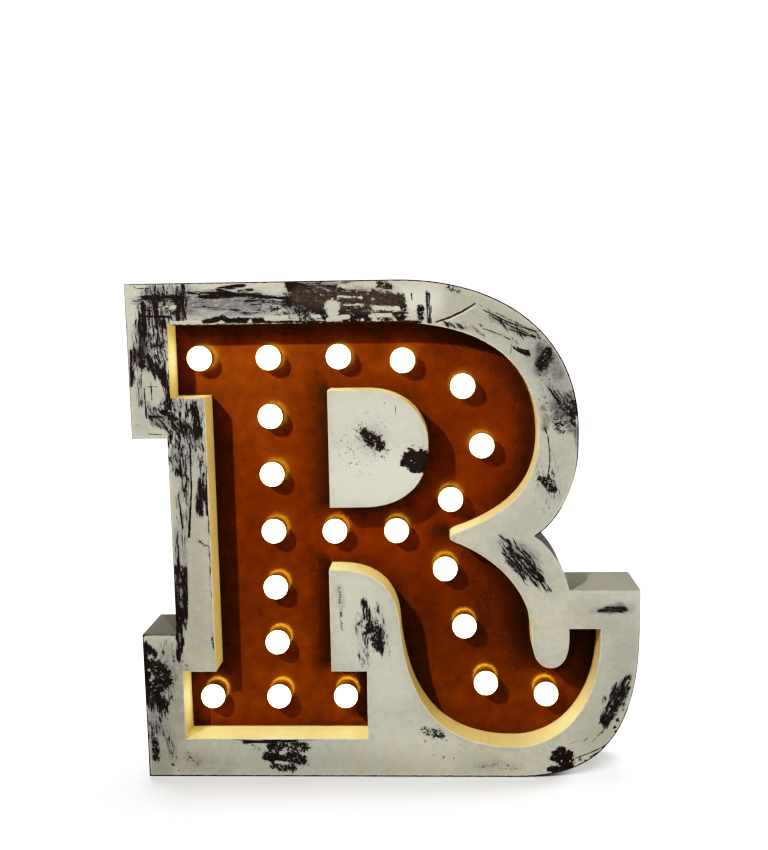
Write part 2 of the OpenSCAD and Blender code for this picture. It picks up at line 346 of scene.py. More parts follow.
# ------------------------------------------------------------------ wear and a few painted highlights, placed in mm on the letter plane
# kinds: V upright, H level, D falling and E rising streaks, T short upright dashes, I chips, S bare base, L scratches,
# M dark smudge, Z thin grey haze, C kept paint, B browner base, K painted highlight beside a scratch, Y yellow stain, G
# grime, W cleaner paint (at the top right of the band also a painted sheen).
# Each stroke is (kind, strength, (u, v, half width), ...).
STROKES = [
    # top band, left
    ("T", .55, (50, 969, 15.8), (89, 962, 15.8)), ("H", .50, (50, 963, 15.8), (123, 960, 17.7)), ("V", .50, (29, 935, 9.8), (67, 927, 13.8)),
    ("M", .45, (157, 967, 13.8), (253, 965, 15.8)), ("L", .59, (19, 995, 1), (25, 990, 1), (47, 991, 1)),
    ("M", .55, (57, 991, 7.6), (60, 972, 10.1)), ("H", .70, (52, 973, 7.6), (75, 970, 8.1), (97, 968, 6.6)), ("I", .70, (57, 972, 7), (95, 968, 6)),
    ("V", .80, (104, 984, 5.5), (105, 960, 6.1), (103, 937, 5)), ("V", .74, (115, 990, 4.5), (116, 962, 5.5), (114, 930, 5)), ("I", .80, (105, 975, 5), (110, 950, 5), (116, 936, 4)),
    ("V", .75, (126, 993, 3), (127, 985, 3)), ("V", .82, (59, 957, 6.6), (56, 927, 7.1)), ("L", .72, (26, 938, 2.2), (87, 936, 2.6)),
    ("V", 1.0, (36, 952, 6.1), (33, 912, 7.1)), ("V", .65, (48, 931, 10.1), (83, 919, 12.6)), ("I", .65, (78, 955, 7.6), (92, 947, 7.6)),
    ("C", .52, (69, 951, 4.9), (96, 954, 4.9)), ("C", .95, (89, 924, 3.9), (145, 924, 4.3)),
    ("Z", .85, (127, 956, 17.7), (195, 955, 23), (259, 956, 20)), ("H", .40, (127, 954, 17.7), (259, 950, 20)),
    ("H", .90, (128, 981, 3), (186, 978, 3.5), (263, 972, 4)), ("H", .86, (157, 976, 6.6), (198, 975, 7.6)),
    ("H", .84, (187, 987, 3.5), (226, 993, 4)), ("H", .84, (225, 983, 2.5), (245, 985, 2.8)),
    ("S", .97, (147, 923, 4), (171, 928, 5), (188, 932, 5.5), (204, 927, 5), (266, 926, 5)), ("C", 1.0, (187, 924, 4.3)),
    ("C", 1.0, (242, 924, 4.7)), ("M", .40, (50, 969, 20), (120, 962, 25)), ("Z", .50, (69, 968, 25), (128, 967, 25)),
    # top band, middle
    ("S", .78, (352, 964, 9.8), (378, 948, 11.8), (389, 929, 7.9)), ("S", .78, (427, 963, 11.8), (448, 951, 13.8), (439, 932, 13.8)), ("Z", .90, (330, 984, 12), (420, 972, 18), (520, 958, 18)),
    ("S", .76, (478, 962, 11.8), (517, 956, 9.8)), ("I", .60, (272, 954, 13.8), (340, 945, 17.7)), ("Z", .60, (272, 954, 15.8), (340, 953, 19.7)),
    ("H", .50, (267, 954, 11.8), (340, 953, 13.8)),
    ("S", .80, (322, 990, 9), (345, 975, 11), (398, 970, 12), (444, 967, 14.5), (490, 965, 16), (526, 961, 13)), ("S", .95, (150, 919.5, 2.2), (245, 920, 2.2)),
    ("I", 1.0, (320, 993, 7.6), (345, 988, 7.6)), ("B", 1.0, (340, 972, 17.7), (417, 963, 22), (494, 963, 22), (522, 959, 17.7)),
    ("H", .76, (244, 969, 6.1), (321, 966, 6.6)), ("M", .70, (327, 964, 17.7), (351, 953, 20)), ("I", .77, (327, 964, 17.7), (351, 941, 20)),
    ("I", .97, (356, 964, 12.6), (374, 941, 12.6)), ("S", .76, (421, 948, 12.6), (451, 936, 13.9)), ("S", .76, (428, 932, 15.1), (459, 928, 12.6)),
    ("S", .95, (242, 925, 3), (397, 920, 3.3), (566, 918, 3.3)), ("C", .97, (274, 930, 4.7), (312, 930, 4.7)), ("C", .80, (405, 952, 12.8)),
    ("C", .66, (413, 969, 2.6), (457, 967, 3)), ("C", .66, (425, 954, 2.4), (457, 953, 2.6)), ("C", .95, (363, 933, 3.2), (378, 933, 3.2)),
    ("C", .97, (393, 926, 4.3), (432, 931, 4.3)), ("C", .95, (474, 932, 3.5), (512, 933, 3.9)), ("C", .90, (459, 924, 3.9)),
    ("C", .90, (482, 947, 4.3), (528, 944, 4.7)), ("C", .55, (412, 990, 5.1), (485, 989, 4.7)), ("H", .75, (345, 990, 8), (408, 988, 8)), ("Z", .80, (345, 990, 9), (408, 988, 9)),
    ("H", .50, (408, 990, 7), (482, 988, 7)), ("I", .92, (520, 950, 9), (532, 930, 10)), ("I", .88, (466, 948, 7), (471, 926, 8)), ("I", .75, (490, 930, 6), (512, 926, 6)), ("I", .82, (484, 941, 6), (514, 938, 6)), ("H", .60, (476, 940, 8), (530, 936, 8)), ("M", .50, (353, 993, 7.6), (408, 990, 7.6)),
    # the W mark here also stands in for the sheen on the top band: painted sheen
    ("I", .85, (492, 991, 6.6), (513, 986, 6.6)), ("L", .64, (554, 972, 1.6), (555, 961, 1.6)), ("W", .90, (543, 961, 17.7), (589, 960, 19.7)),
    # top band, right
    ("I", .95, (532, 968, 7.6), (536, 946, 8.8)), ("I", .90, (571, 945, 6.6), (571, 928, 6.6)), ("V", .80, (585, 968, 3.5), (587, 919, 4.5)),
    ("L", .51, (591, 968, 1.4), (591, 921, 1.4)), ("L", .81, (600, 918, 1.6), (627, 927, 2.2), (650, 937, 2.2), (675, 952, 1.4)),
    # the K mark is a painted highlight along the lower side of the scratch above
    ("K", .80, (602, 915, 1.4), (629, 923, 2), (652, 934, 2), (677, 948, 1.4)), ("I", .65, (623, 982, 5), (645, 977, 5)),
    ("D", .55, (617, 913, 4), (656, 908, 4)), ("I", .65, (686, 912, 4.5)),
    ("D", .44, (703, 928, 6.6), (732, 913, 7.6), (760, 901, 7.6), (791, 893, 7.6)), ("D", .36, (694, 902, 4), (751, 878, 4)), ("M", .42, (708, 926, 6), (750, 906, 8), (794, 890, 8)),
    ("L", .66, (690, 940, 1.2), (735, 917, 1.5), (792, 897, 1.5)), ("L", .60, (700, 930, 1), (750, 905, 1.3), (800, 884, 1.3)), ("L", .56, (714, 934, 1), (772, 906, 1.2)), ("L", .56, (690, 905, 1), (722, 893, 1.3), (756, 876, 1.2)), ("L", .60, (738, 903, 1.2), (790, 886, 1.4)),
    ("L", .42, (681, 951, 0.8), (722, 926, 1)), ("L", .38, (665, 938, 0.8), (738, 901, 0.8)), ("D", .80, (751, 866, 3), (774, 856, 3.5)),
    ("L", .77, (757, 863, 1.8), (776, 854, 2.4)), ("D", .55, (659, 914, 3.5), (688, 894, 3.5)), ("L", .51, (747, 887, 1), (742, 854, 1)),
    # shoulder of the bowl
    ("L", .77, (764, 863, 2), (776, 861, 2.4), (780, 853, 1.6)), ("M", .95, (804, 868, 11.3), (810, 847, 16.4), (801, 826, 12.6)),
    ("I", .89, (810, 849, 10.1), (803, 836, 12.6), (814, 859, 10.1)), ("M", .60, (822, 847, 10.1), (833, 816, 10.1)),
    ("L", .42, (780, 850, 0.8), (833, 845, 0.8)), ("I", .41, (811, 805, 15.1), (815, 771, 17.7)), ("L", .68, (816, 807, 2)),
    ("M", .85, (838, 751, 17.7), (853, 763, 15.1), (859, 743, 15.1)), ("M", 1.0, (862, 778, 6.6), (870, 720, 8.1), (874, 689, 6.1), (876, 658, 3.5)),
    ("I", .65, (834, 736, 12.6), (842, 713, 12.6)), ("M", 1.0, (858, 756, 17), (868, 716, 13)), ("I", .78, (860, 757, 13), (867, 722, 9)),
    ("Z", .55, (800, 850, 26), (835, 800, 26), (852, 745, 26)), ("D", .55, (838, 772, 14), (858, 752, 14)), ("I", .60, (845, 757, 15.1)), ("C", 1.0, (871, 734, 2), (871, 720, 2)),
    ("M", .80, (805, 752, 5), (811, 728, 7.6), (809, 713, 6.3)),
    ("L", .68, (809, 713, 1.6), (815, 697, 1.4), (819, 666, 1.2), (819, 643, 1.4), (816, 619, 1.2)),
    ("I", .87, (802, 613, 6.3), (816, 605, 11.3), (824, 594, 10.1)), ("T", .33, (816, 607, 23)), ("L", .51, (868, 640, 1.4)),
    # crotch and foot
    ("D", .78, (739, 467, 7.6), (750, 452, 12.6), (766, 440, 16.4), (782, 430, 15.1), (796, 422, 10.1)),
    ("D", .65, (727, 491, 6.3), (742, 477, 10.1), (762, 466, 12.6), (782, 452, 12.6)),
    ("I", .64, (746, 456, 12.6), (766, 442, 16.4), (786, 432, 15.1)), ("D", .65, (798, 418, 5), (810, 403, 6.1), (818, 391, 5)),
    ("L", .77, (817, 391, 2.4)), ("Z", .50, (733, 483, 12.6), (782, 452, 15.1)), ("M", .40, (762, 476, 12.6), (786, 458, 12.6)),
    ("M", .90, (919, 348, 3.5), (942, 351, 7.6), (958, 356, 8.8), (970, 350, 5)), ("H", .70, (921, 349, 3), (944, 352, 5.5), (964, 352, 5.5)),
    ("Z", .50, (905, 348, 5), (980, 354, 10.1)),
    # right-hand side of the foot
    ("I", .62, (975, 201, 5.5), (961, 172, 11), (950, 147, 11), (940, 130, 8)), ("E", .84, (975, 201, 7), (961, 172, 13), (940, 130, 11)),
    ("I", .95, (982, 210, 4)), ("I", .95, (979, 189, 5)), ("E", .75, (953, 193, 4), (944, 160, 4.5), (942, 143, 4)),
    ("T", .55, (933, 166, 2.5), (926, 130, 3)), ("I", .90, (970, 155, 4)), ("I", .90, (960, 122, 4)), ("I", .85, (954, 105, 3.5)),
    ("I", .75, (970, 143, 3)), ("L", .59, (944, 117, 1.2), (937, 101, 1.2)),
    # bottom edge, from the right
    ("S", .95, (849, 56, 10.1), (841, 43, 15.1), (855, 37, 17.7), (863, 49, 10.1)), ("S", .95, (825, 17, 6.1), (845, 16, 8.6), (867, 25, 6.6)),
    ("C", .80, (845, 50, 2)), ("C", .80, (848, 34, 2)), ("C", .80, (840, 28, 2)), ("C", .80, (865, 34, 2)),
    ("L", .68, (875, 40, 1.2), (905, 52, 1.2), (935, 66, 1.6)), ("L", .77, (934, 66, 2.8)), ("I", .80, (885, 38, 4)), ("I", .80, (897, 36, 3.5)),
    ("L", .64, (905, 43, 1.6), (927, 56, 1.6)), ("L", .52, (861, 69, 0.8), (881, 79, 0.8)), ("L", .52, (889, 73, 0.8), (905, 90, 0.8)),
    ("L", .52, (909, 75, 0.8), (927, 96, 0.8)), ("L", .68, (928, 94, 1.2), (939, 114, 1.2)), ("L", .38, (922, 94, 1), (922, 109, 1)),
    ("I", .90, (957, 97, 4)), ("I", .90, (960, 120, 4)), ("I", .75, (954, 107, 2.5)), ("I", .71, (571, 100, 7.6), (587, 94, 10.1), (604, 90, 7.6)),
    ("M", .50, (599, 94, 7.6)), ("L", .38, (519, 139, 0.8), (535, 122, 0.8), (571, 102, 0.8)), ("L", .34, (612, 79, 0.8), (672, 58, 0.8)),
    ("L", .34, (591, 75, 0.8), (644, 56, 0.8)), ("Z", .25, (672, 23, 6.3), (713, 28, 10.1), (762, 19, 7.6)),
    ("I", .38, (683, 23, 6.3), (713, 28, 7.6), (754, 21, 6.3)), ("I", .75, (571, 77, 2.5)), ("I", .75, (589, 47, 2)), ("I", .75, (609, 43, 2)),
    ("I", .75, (630, 40, 2)), ("I", .65, (636, 19, 2)),
    # bottom edge, left blot
    ("H", 1.0, (206, 74, 4.5), (220, 76, 3.5), (264, 76, 5), (301, 77, 3)), ("I", .91, (255, 64, 10.1), (276, 66, 10.1)),
    ("I", .91, (294, 66, 10.1), (323, 64, 10.1)), ("I", 1.0, (246, 44, 8.8), (264, 40, 11.3), (291, 42, 12.6), (318, 36, 10.1)),
    ("I", .85, (260, 23, 7.6), (282, 20, 8.8), (299, 18, 7.6)), ("I", .86, (268, 56, 6), (278, 32, 6)), ("I", .86, (302, 58, 6), (310, 30, 6)), ("T", .60, (262, 58, 8), (300, 30, 8)), ("C", .90, (275, 51, 4.7), (285, 53, 3.2)),
    ("C", .85, (264, 31, 3.2), (287, 29, 3.2)), ("C", .80, (242, 61, 4.7)), ("I", .55, (216, 66, 5), (230, 61, 5)), ("I", .75, (332, 25, 2)),
    ("I", .75, (337, 43, 2)), ("I", .75, (337, 62, 2)),
    # upper left serif
    ("V", .66, (26, 912, 9.8), (24, 854, 7.9)), ("T", .48, (46, 883, 11.8), (72, 869, 11.8)), ("V", .50, (16, 835, 5.9), (22, 777, 5.9)),
    ("T", .55, (75, 753, 13.8), (129, 736, 15.8)), ("Z", .50, (46, 883, 15.8), (73, 873, 13.8)), ("T", .50, (39, 761, 7.9), (69, 757, 11.8)),
    ("M", .95, (31, 915, 9.1), (33, 898, 10.6), (30, 875, 10.1), (28, 862, 7.6)), ("T", .60, (40, 894, 7.6), (60, 890, 8.8), (79, 882, 8.8)), ("Z", .70, (47, 912, 15), (80, 905, 15)),
    ("L", .55, (40, 879, 1), (77, 879, 1)), ("T", .52, (47, 912, 15.1), (78, 905, 15.1)), ("V", .95, (7, 868, 2.8), (6, 810, 3)),
    ("V", .63, (15, 896, 5.5), (16, 849, 5.5)),
    ("T", .92, (27, 854, 8.8), (41, 848, 8.1), (54, 835, 7.6), (68, 821, 7.6), (75, 798, 6.1), (77, 768, 5)),
    ("T", .62, (43, 862, 7.6), (69, 848, 7.6)), ("C", .97, (37, 821, 7.9), (49, 799, 11.8), (48, 776, 11.8)),
    ("L", .64, (26, 838, 1.2), (24, 799, 1.2)), ("L", .72, (30, 799, 1.6), (31, 740, 1.8)), ("L", .51, (32, 802, 1), (55, 802, 1)),
    ("L", .51, (44, 810, 1.4), (44, 776, 1.6)), ("I", .65, (47, 763, 7.6), (71, 768, 7.6)), ("S", .74, (65, 751, 7.6), (86, 741, 8.1)),
    ("H", .66, (41, 743, 3), (58, 745, 4)), ("M", .60, (50, 737, 10.1), (77, 729, 12.6), (109, 721, 12.6)),
    ("D", .52, (50, 737, 10.1), (77, 727, 12.6), (109, 719, 12.6)), ("Z", .60, (84, 776, 15.1), (115, 766, 23), (144, 765, 15.1)),
    ("T", .74, (100, 737, 7.6), (105, 721, 7.6)), ("T", 1.0, (126, 754, 8.6), (132, 715, 9.1)), ("T", .75, (90, 751, 4)),
    ("V", .67, (150, 775, 3), (148, 657, 3.5)), ("L", .59, (31, 710, 1.2), (60, 708, 1.2)), ("L", .51, (12, 729, 1), (15, 725, 1)),
    # stem
    ("T", .48, (116, 697, 17.7), (98, 654, 13.8)), ("Z", .60, (116, 707, 19.7), (97, 648, 15.8)), ("T", .50, (135, 677, 9.8), (140, 618, 7.9)),
    ("V", .45, (90, 578, 7.9), (95, 497, 7.9)), ("T", .64, (84, 692, 12.6), (102, 666, 12.6)), ("T", .55, (117, 691, 7.6), (135, 695, 7.6)),
    ("T", .66, (86, 698, 12.6), (92, 658, 15.1), (101, 632, 10.1), (101, 598, 7.6)), ("L", .78, (115, 687, 1.6), (114, 598, 1.8), (105, 503, 2.6)),
    ("V", .55, (104, 578, 5), (104, 528, 5)), ("V", .97, (134, 608, 6.1), (129, 560, 7.6)), ("V", .85, (145, 598, 3.5), (143, 554, 4)),
    ("L", .72, (131, 662, 1.8)), ("L", .72, (136, 659, 1.8)), ("L", .68, (138, 628, 1.6)), ("V", .65, (151, 771, 3), (146, 578, 3.5)),
    ("V", .41, (146, 568, 3), (144, 297, 2.5)), ("I", .55, (125, 495, 3.8), (140, 485, 4.5)), ("Z", .60, (80, 518, 6.3), (79, 446, 6.3)),
    ("Z", .70, (94, 477, 5), (94, 446, 5)), ("V", .50, (81, 508, 5), (80, 446, 5)), ("V", 1.0, (76, 436, 4), (72, 297, 4)),
    ("T", .91, (86, 426, 8.6), (85, 374, 9.1), (85, 329, 7.6)), ("V", .85, (95, 436, 3.5), (92, 329, 3.5)),
    ("V", .93, (76, 322, 7.1), (79, 291, 6.6), (73, 255, 4)), ("I", .85, (143, 294, 3), (146, 273, 3)), ("I", .33, (66, 270, 12.6), (76, 232, 12.6)),
    ("Y", .50, (96, 264, 5.9), (121, 264, 5.9), (111, 238, 7.9)),
    # lower left serif
    ("S", .97, (3, 272, 4.5), (5, 249, 6.6), (5, 207, 8.6), (2, 173, 7.6)), ("T", .95, (7, 275, 5), (24, 264, 5)),
    ("I", .98, (19, 239, 12.6), (35, 226, 16.4), (42, 207, 15.1), (21, 190, 15.1)), ("C", .80, (13, 207, 3.2)), ("C", .80, (25, 249, 3.2)),
    ("C", .80, (10, 228, 3.2)), ("T", .80, (9, 164, 10.1), (36, 158, 11.3)), ("T", .55, (10, 104, 10.1), (27, 111, 10.1)),
    ("Z", .70, (12, 132, 12.6), (23, 104, 12.6)), ("T", .35, (50, 249, 15.1), (51, 186, 12.6)), ("I", .87, (15, 78, 6.6), (16, 39, 7.1)),
    ("M", .50, (15, 78, 7.6), (16, 39, 7.6)), ("T", .45, (45, 83, 8.8), (51, 53, 8.8)), ("M", .20, (86, 42, 10.1), (102, 31, 10.1)),
    ("I", .44, (86, 42, 10.1), (100, 33, 7.6)), ("I", .80, (50, 24, 3.5)), ("L", .51, (61, 13, 1.6)), ("L", .51, (61, 1, 1.6)),
    ("L", .59, (43, 124, 2)),
    # the leg's inner face
    ("T", .77, (452, 364, 6.1), (457, 344, 7.1), (465, 329, 7.1)), ("I", .91, (463, 317, 10.1), (476, 298, 13.9), (479, 277, 11.3)),
    ("I", .85, (449, 303, 4), (460, 308, 4)), ("T", .85, (483, 313, 5), (485, 273, 5.5)), ("T", .45, (449, 315, 15.1), (451, 267, 12.6)),
    ("T", .45, (480, 337, 10.1), (490, 279, 10.1)), ("Z", .30, (467, 311, 30)),
    ("I", .55, (403, 396, 3), (404, 370, 4), (406, 332, 3), (406, 311, 3.5)), ("Z", .40, (402, 397, 7.6), (406, 363, 7.6)),
    ("L", .68, (403, 371, 2)),
    # age of the paint
    ("G", .70, (20, 20, 40), (50, 130, 45), (45, 230, 40)), ("G", .55, (70, 30, 30), (160, 20, 26)),
    ("G", .40, (110, 290, 30), (105, 500, 30), (110, 680, 25)), ("G", .30, (150, 30, 26), (450, 22, 24), (700, 22, 24)),
    ("G", .42, (640, 950, 30), (700, 930, 34), (780, 880, 34), (835, 800, 34), (850, 690, 34), (830, 590, 34)),
    ("G", .35, (790, 530, 40), (740, 480, 40), (820, 420, 36)), ("G", .38, (900, 350, 30), (975, 300, 30), (970, 200, 30), (920, 90, 34)),
    ("G", .26, (20, 740, 30), (40, 820, 30)),
    ("W", .50, (430, 400, 40), (440, 300, 45), (500, 200, 45)), ("W", .35, (600, 50, 40), (480, 100, 40)),
]
ISLAND_STROKES = [
    ("W", .60, (420, 740, 60), (520, 730, 60)), ("W", 1.0, (430, 620, 60), (520, 620, 60)),
    ("S", .98, (538, 651, 11.3), (553, 655, 21), (569, 653, 23), (577, 649, 20)), ("S", .95, (557, 639, 12.6), (571, 637, 10.1)),
    ("B", .15, (557, 651, 26)), ("I", 1.0, (461, 706, 10), (474, 694, 13.5), (486, 684, 12.5)), ("I", .75, (451, 713, 4)),
    ("I", .43, (454, 709, 20), (474, 693, 25), (489, 674, 20)), ("Z", .45, (474, 693, 25)), ("I", .25, (460, 684, 50)), ("B", .15, (474, 693, 15.8)),
    ("Y", .80, (406, 745, 4.7)), ("L", .47, (499, 771, 1), (500, 763, 1)), ("L", .47, (520, 759, 1), (521, 740, 1)), ("L", .51, (443, 763, 1.2)),
    ("L", .42, (562, 724, 1)),
]


LEAN = {"V": 92.0, "H": -2.0, "D": -52.0, "E": 63.0, "T": 92.0}


def stroke(P, points, lean=None):
    """Distance from a stroke over its half width there: under 1 is inside it. Streaks reach further lengthwise."""
    best = np.full(len(P), 1e9)
    pts = np.array(points, float)
    if len(pts) == 1:
        pts = np.vstack([pts, pts + (0.01, 0, 0)])
    for a, b in zip(pts, pts[1:]):
        ab = b[:2] - a[:2]
        t = np.clip(((P - a[:2]) @ ab) / max(ab @ ab, 1e-9), 0, 1)
        off = P - a[:2] - t[:, None] * ab
        if lean is None:
            d = np.hypot(*off.T)
        else:
            c, s = math.cos(math.radians(lean)), math.sin(math.radians(lean))
            d = np.hypot((off @ (c, s)) * 0.45, off @ (-s, c))
        np.minimum(best, d / (a[2] + t * (b[2] - a[2])), out=best)
    return best


def wear_fields(P, strokes):
    """Densities of each kind of wear at letter-plane points, in mm."""
    edges = {"S": (1.7, 1.35), "C": (1.7, 1.4), "L": (1.3, 0.8), "K": (1.3, 0.8), "Z": (1.8, 1.4), "M": (1.7, 1.1), "B": (1.6, 1.2),
             "Y": (1.5, 1.2), "G": (2.2, 2.0), "W": (2.2, 2.0)}
    f = {k: np.zeros(len(P)) for k in "VHDETISLMZCBKYGW"}
    for kind, strength, *pts in strokes:
        out, span = edges.get(kind, (1.8, 1.2))
        t = np.clip((out - stroke(P, pts, LEAN.get(kind))) / span, 0, 1)
        np.maximum(f[kind], strength * t * t * (3 - 2 * t), out=f[kind])
    return f


def sheet(name, node, y, thick, pitch, fine):
    """A node's flat sheet again, from its own border, with a rolled edge and a fine mesh that can carry attributes."""
    loops = flat_loops(node, y)
    roll = thick
    rows = [(roll, 0.0), (roll * 0.617, roll * 0.076), (roll * 0.293, roll * 0.293), (roll * 0.076, roll * 0.617), (0.0, roll)]
    front = [inset(r, roll) for r in loops]
    lo, hi = loops[0].min(0), loops[0].max(0)
    nx, nz = int((hi[0] - lo[0]) / pitch) + 2, int((hi[1] - lo[1]) / (pitch * 0.866)) + 2
    gx, gz = np.meshgrid(np.arange(nx), np.arange(nz))
    grid = np.stack([lo[0] + (gx + 0.5 * (gz % 2)) * pitch, lo[1] + gz * pitch * 0.866], -1).reshape(-1, 2)
    if len(fine):
        grid = np.vstack([grid, np.array(fine) / 1000 - (HALF_W, 0)])
        _, first = np.unique(np.round(grid / 0.0007).astype(np.int64), axis=0, return_index=True)
        grid = grid[np.sort(first)]
    grid = grid[inside(grid, front)]
    grid = grid[distance(grid, front) > 0.0009]
    cons, at = [], 0
    for r in front:
        k = len(r)
        cons += [(at + i, at + (i + 1) % k) for i in range(k)]
        at += k
    out = delaunay_2d_cdt([Vector(p) for p in np.vstack(front + [grid])], cons, [], 0, 1e-7)
    v2 = np.array([tuple(v) for v in out[0]])
    tri = np.array([f for f in out[2]], np.int64)
    tri = tri[inside(v2[tri].mean(1), front)]
    where = {o: i for i, ids in enumerate(out[3]) for o in ids}      # where each border point went
    verts = [(x, y, z) for x, z in v2]
    faces = []
    p, q, r3 = (v2[tri[:, i]] for i in range(3))
    turn = (q[:, 0] - p[:, 0]) * (r3[:, 1] - p[:, 1]) - (q[:, 1] - p[:, 1]) * (r3[:, 0] - p[:, 0])
    for t, s in zip(tri, turn):          # seen from -Y, with x to the right and z up
        faces.append(tuple(t) if s > 0 else tuple(t[::-1]))
    last_rows, at = [], 0
    for r in loops:
        k = len(r)
        prev = [where[at + i] for i in range(k)]
        for d, dy in rows[1:]:
            base = len(verts)
            verts += [(x, y + dy, z) for x, z in inset(r, d)]
            cur = list(range(base, base + k))
            faces += [(prev[i], cur[i], cur[(i + 1) % k], prev[(i + 1) % k]) for i in range(k)]
            prev = cur
        last_rows += prev
        at += k
    cons, at = [], 0
    for r in loops:                      # rear side
        k = len(r)
        cons += [(at + i, at + (i + 1) % k) for i in range(k)]
        at += k
    back = delaunay_2d_cdt([Vector(p) for p in np.vstack(loops)], cons, [], 0, 1e-7)
    bv = np.array([tuple(v) for v in back[0]])
    name_of = {i: last_rows[ids[0]] for i, ids in enumerate(back[3]) if ids}
    bt = np.array([f for f in back[2]], np.int64)
    for t in bt[inside(bv[bt].mean(1), loops)]:
        p, q, r3 = bv[t]
        cw = (q[0] - p[0]) * (r3[1] - p[1]) - (q[1] - p[1]) * (r3[0] - p[0]) < 0
        t = [name_of[i] for i in t]
        faces.append(tuple(t) if cw else tuple(t[::-1]))
    me = bpy.data.meshes.new(name)
    me.from_pydata(verts, [], faces)
    me.polygons.foreach_set("use_smooth", np.ones(len(faces), bool))
    me.update()
    me.set_sharp_from_angle(angle=math.radians(50))
    ob = bpy.data.objects.new(name, me)
    scene.collection.objects.link(ob)
    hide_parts(node)
    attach(ob, "letter")
    co = np.array(verts)
    return ob, np.stack([co[:, 0] + HALF_W, co[:, 2]], 1) * 1000, [(r + (HALF_W, 0)) * 1000 for r in loops]


def colours(ob, name, *columns):
    att = ob.data.attributes.new(name, "FLOAT_COLOR", "POINT")
    att.data.foreach_set("color", np.stack(columns, 1).astype(np.float32).ravel())


def worn_sheet(name, node, strokes, main):
    """A painted face with its wear."""
    fine = []                            # more points along the thin marks
    for kind, _, *pts in strokes:
        if kind in "SKCL" and max(p[2] for p in pts) < 5:
            for a, b in zip(pts, pts[1:] or pts):
                a, b = np.array(a, float), np.array(b, float)
                ab = b[:2] - a[:2]
                ln = max(np.linalg.norm(ab), 1e-6)
                side = np.array([-ab[1], ab[0]]) / ln if ln > 1e-3 else np.array([0.0, 1.0])
                for t in np.linspace(0, 1, int(ln / 1.2) + 2):
                    w = a[2] + t * (b[2] - a[2])
                    for s in (-1.9, -1.3, -0.7, 0.0, 0.7, 1.3, 1.9):
                        fine.append(a[:2] + t * ab + side * s * w)
    ob, P, loops = sheet(name, node, FRONT, SHEET, 0.003, fine)
    f = wear_fields(P, strokes)
    outer = distance(P, loops[:1])
    inner = distance(P, loops[1:]) if main else outer
    u, v = P[:, 0], P[:, 1]
    line = np.full(len(P), 0.12)
    if main:
        line = np.where(v > 992, 0.95, line)
        line = np.where((u > 560) & (v > 660), 0.95, line)
        line = np.where((u > 700) & (v > 590) & (v <= 660), 0.95 - 0.011 * (660 - v), line)
        line = np.where((u > 780) & (v > 498) & (v < 560), 0.85, line)
        line = np.where((u < 12) & (v < 304), 1.0, line)
        line = np.where((u < 12) & (v > 700), 0.45, line)
        line = np.where((u < 12) & (v > 795) & (v < 890), 0.9, line)
        line = np.where(v < 12, 1.0, line)
        line = np.where((u > 700) & (v < 150), 1.0, line)
        line = np.where((u > 985) & (v >= 150) & (v < 388), 0.55, line)
    colours(ob, "wear_a", f["V"], f["H"], f["D"], f["E"])
    colours(ob, "wear_b", f["I"], f["S"], f["Z"], f["K"])
    colours(ob, "borders", np.clip(outer / 40, 0, 1), np.clip(inner / 40, 0, 1), line, f["Y"])
    colours(ob, "age", f["G"], f["W"], f["C"], f["T"])
    colours(ob, "smudge", f["M"], f["L"], f["B"], np.ones(len(P)))
    return ob, loops


# ------------------------------------------------------------------ materials

DARK = lin(36, 24, 21)


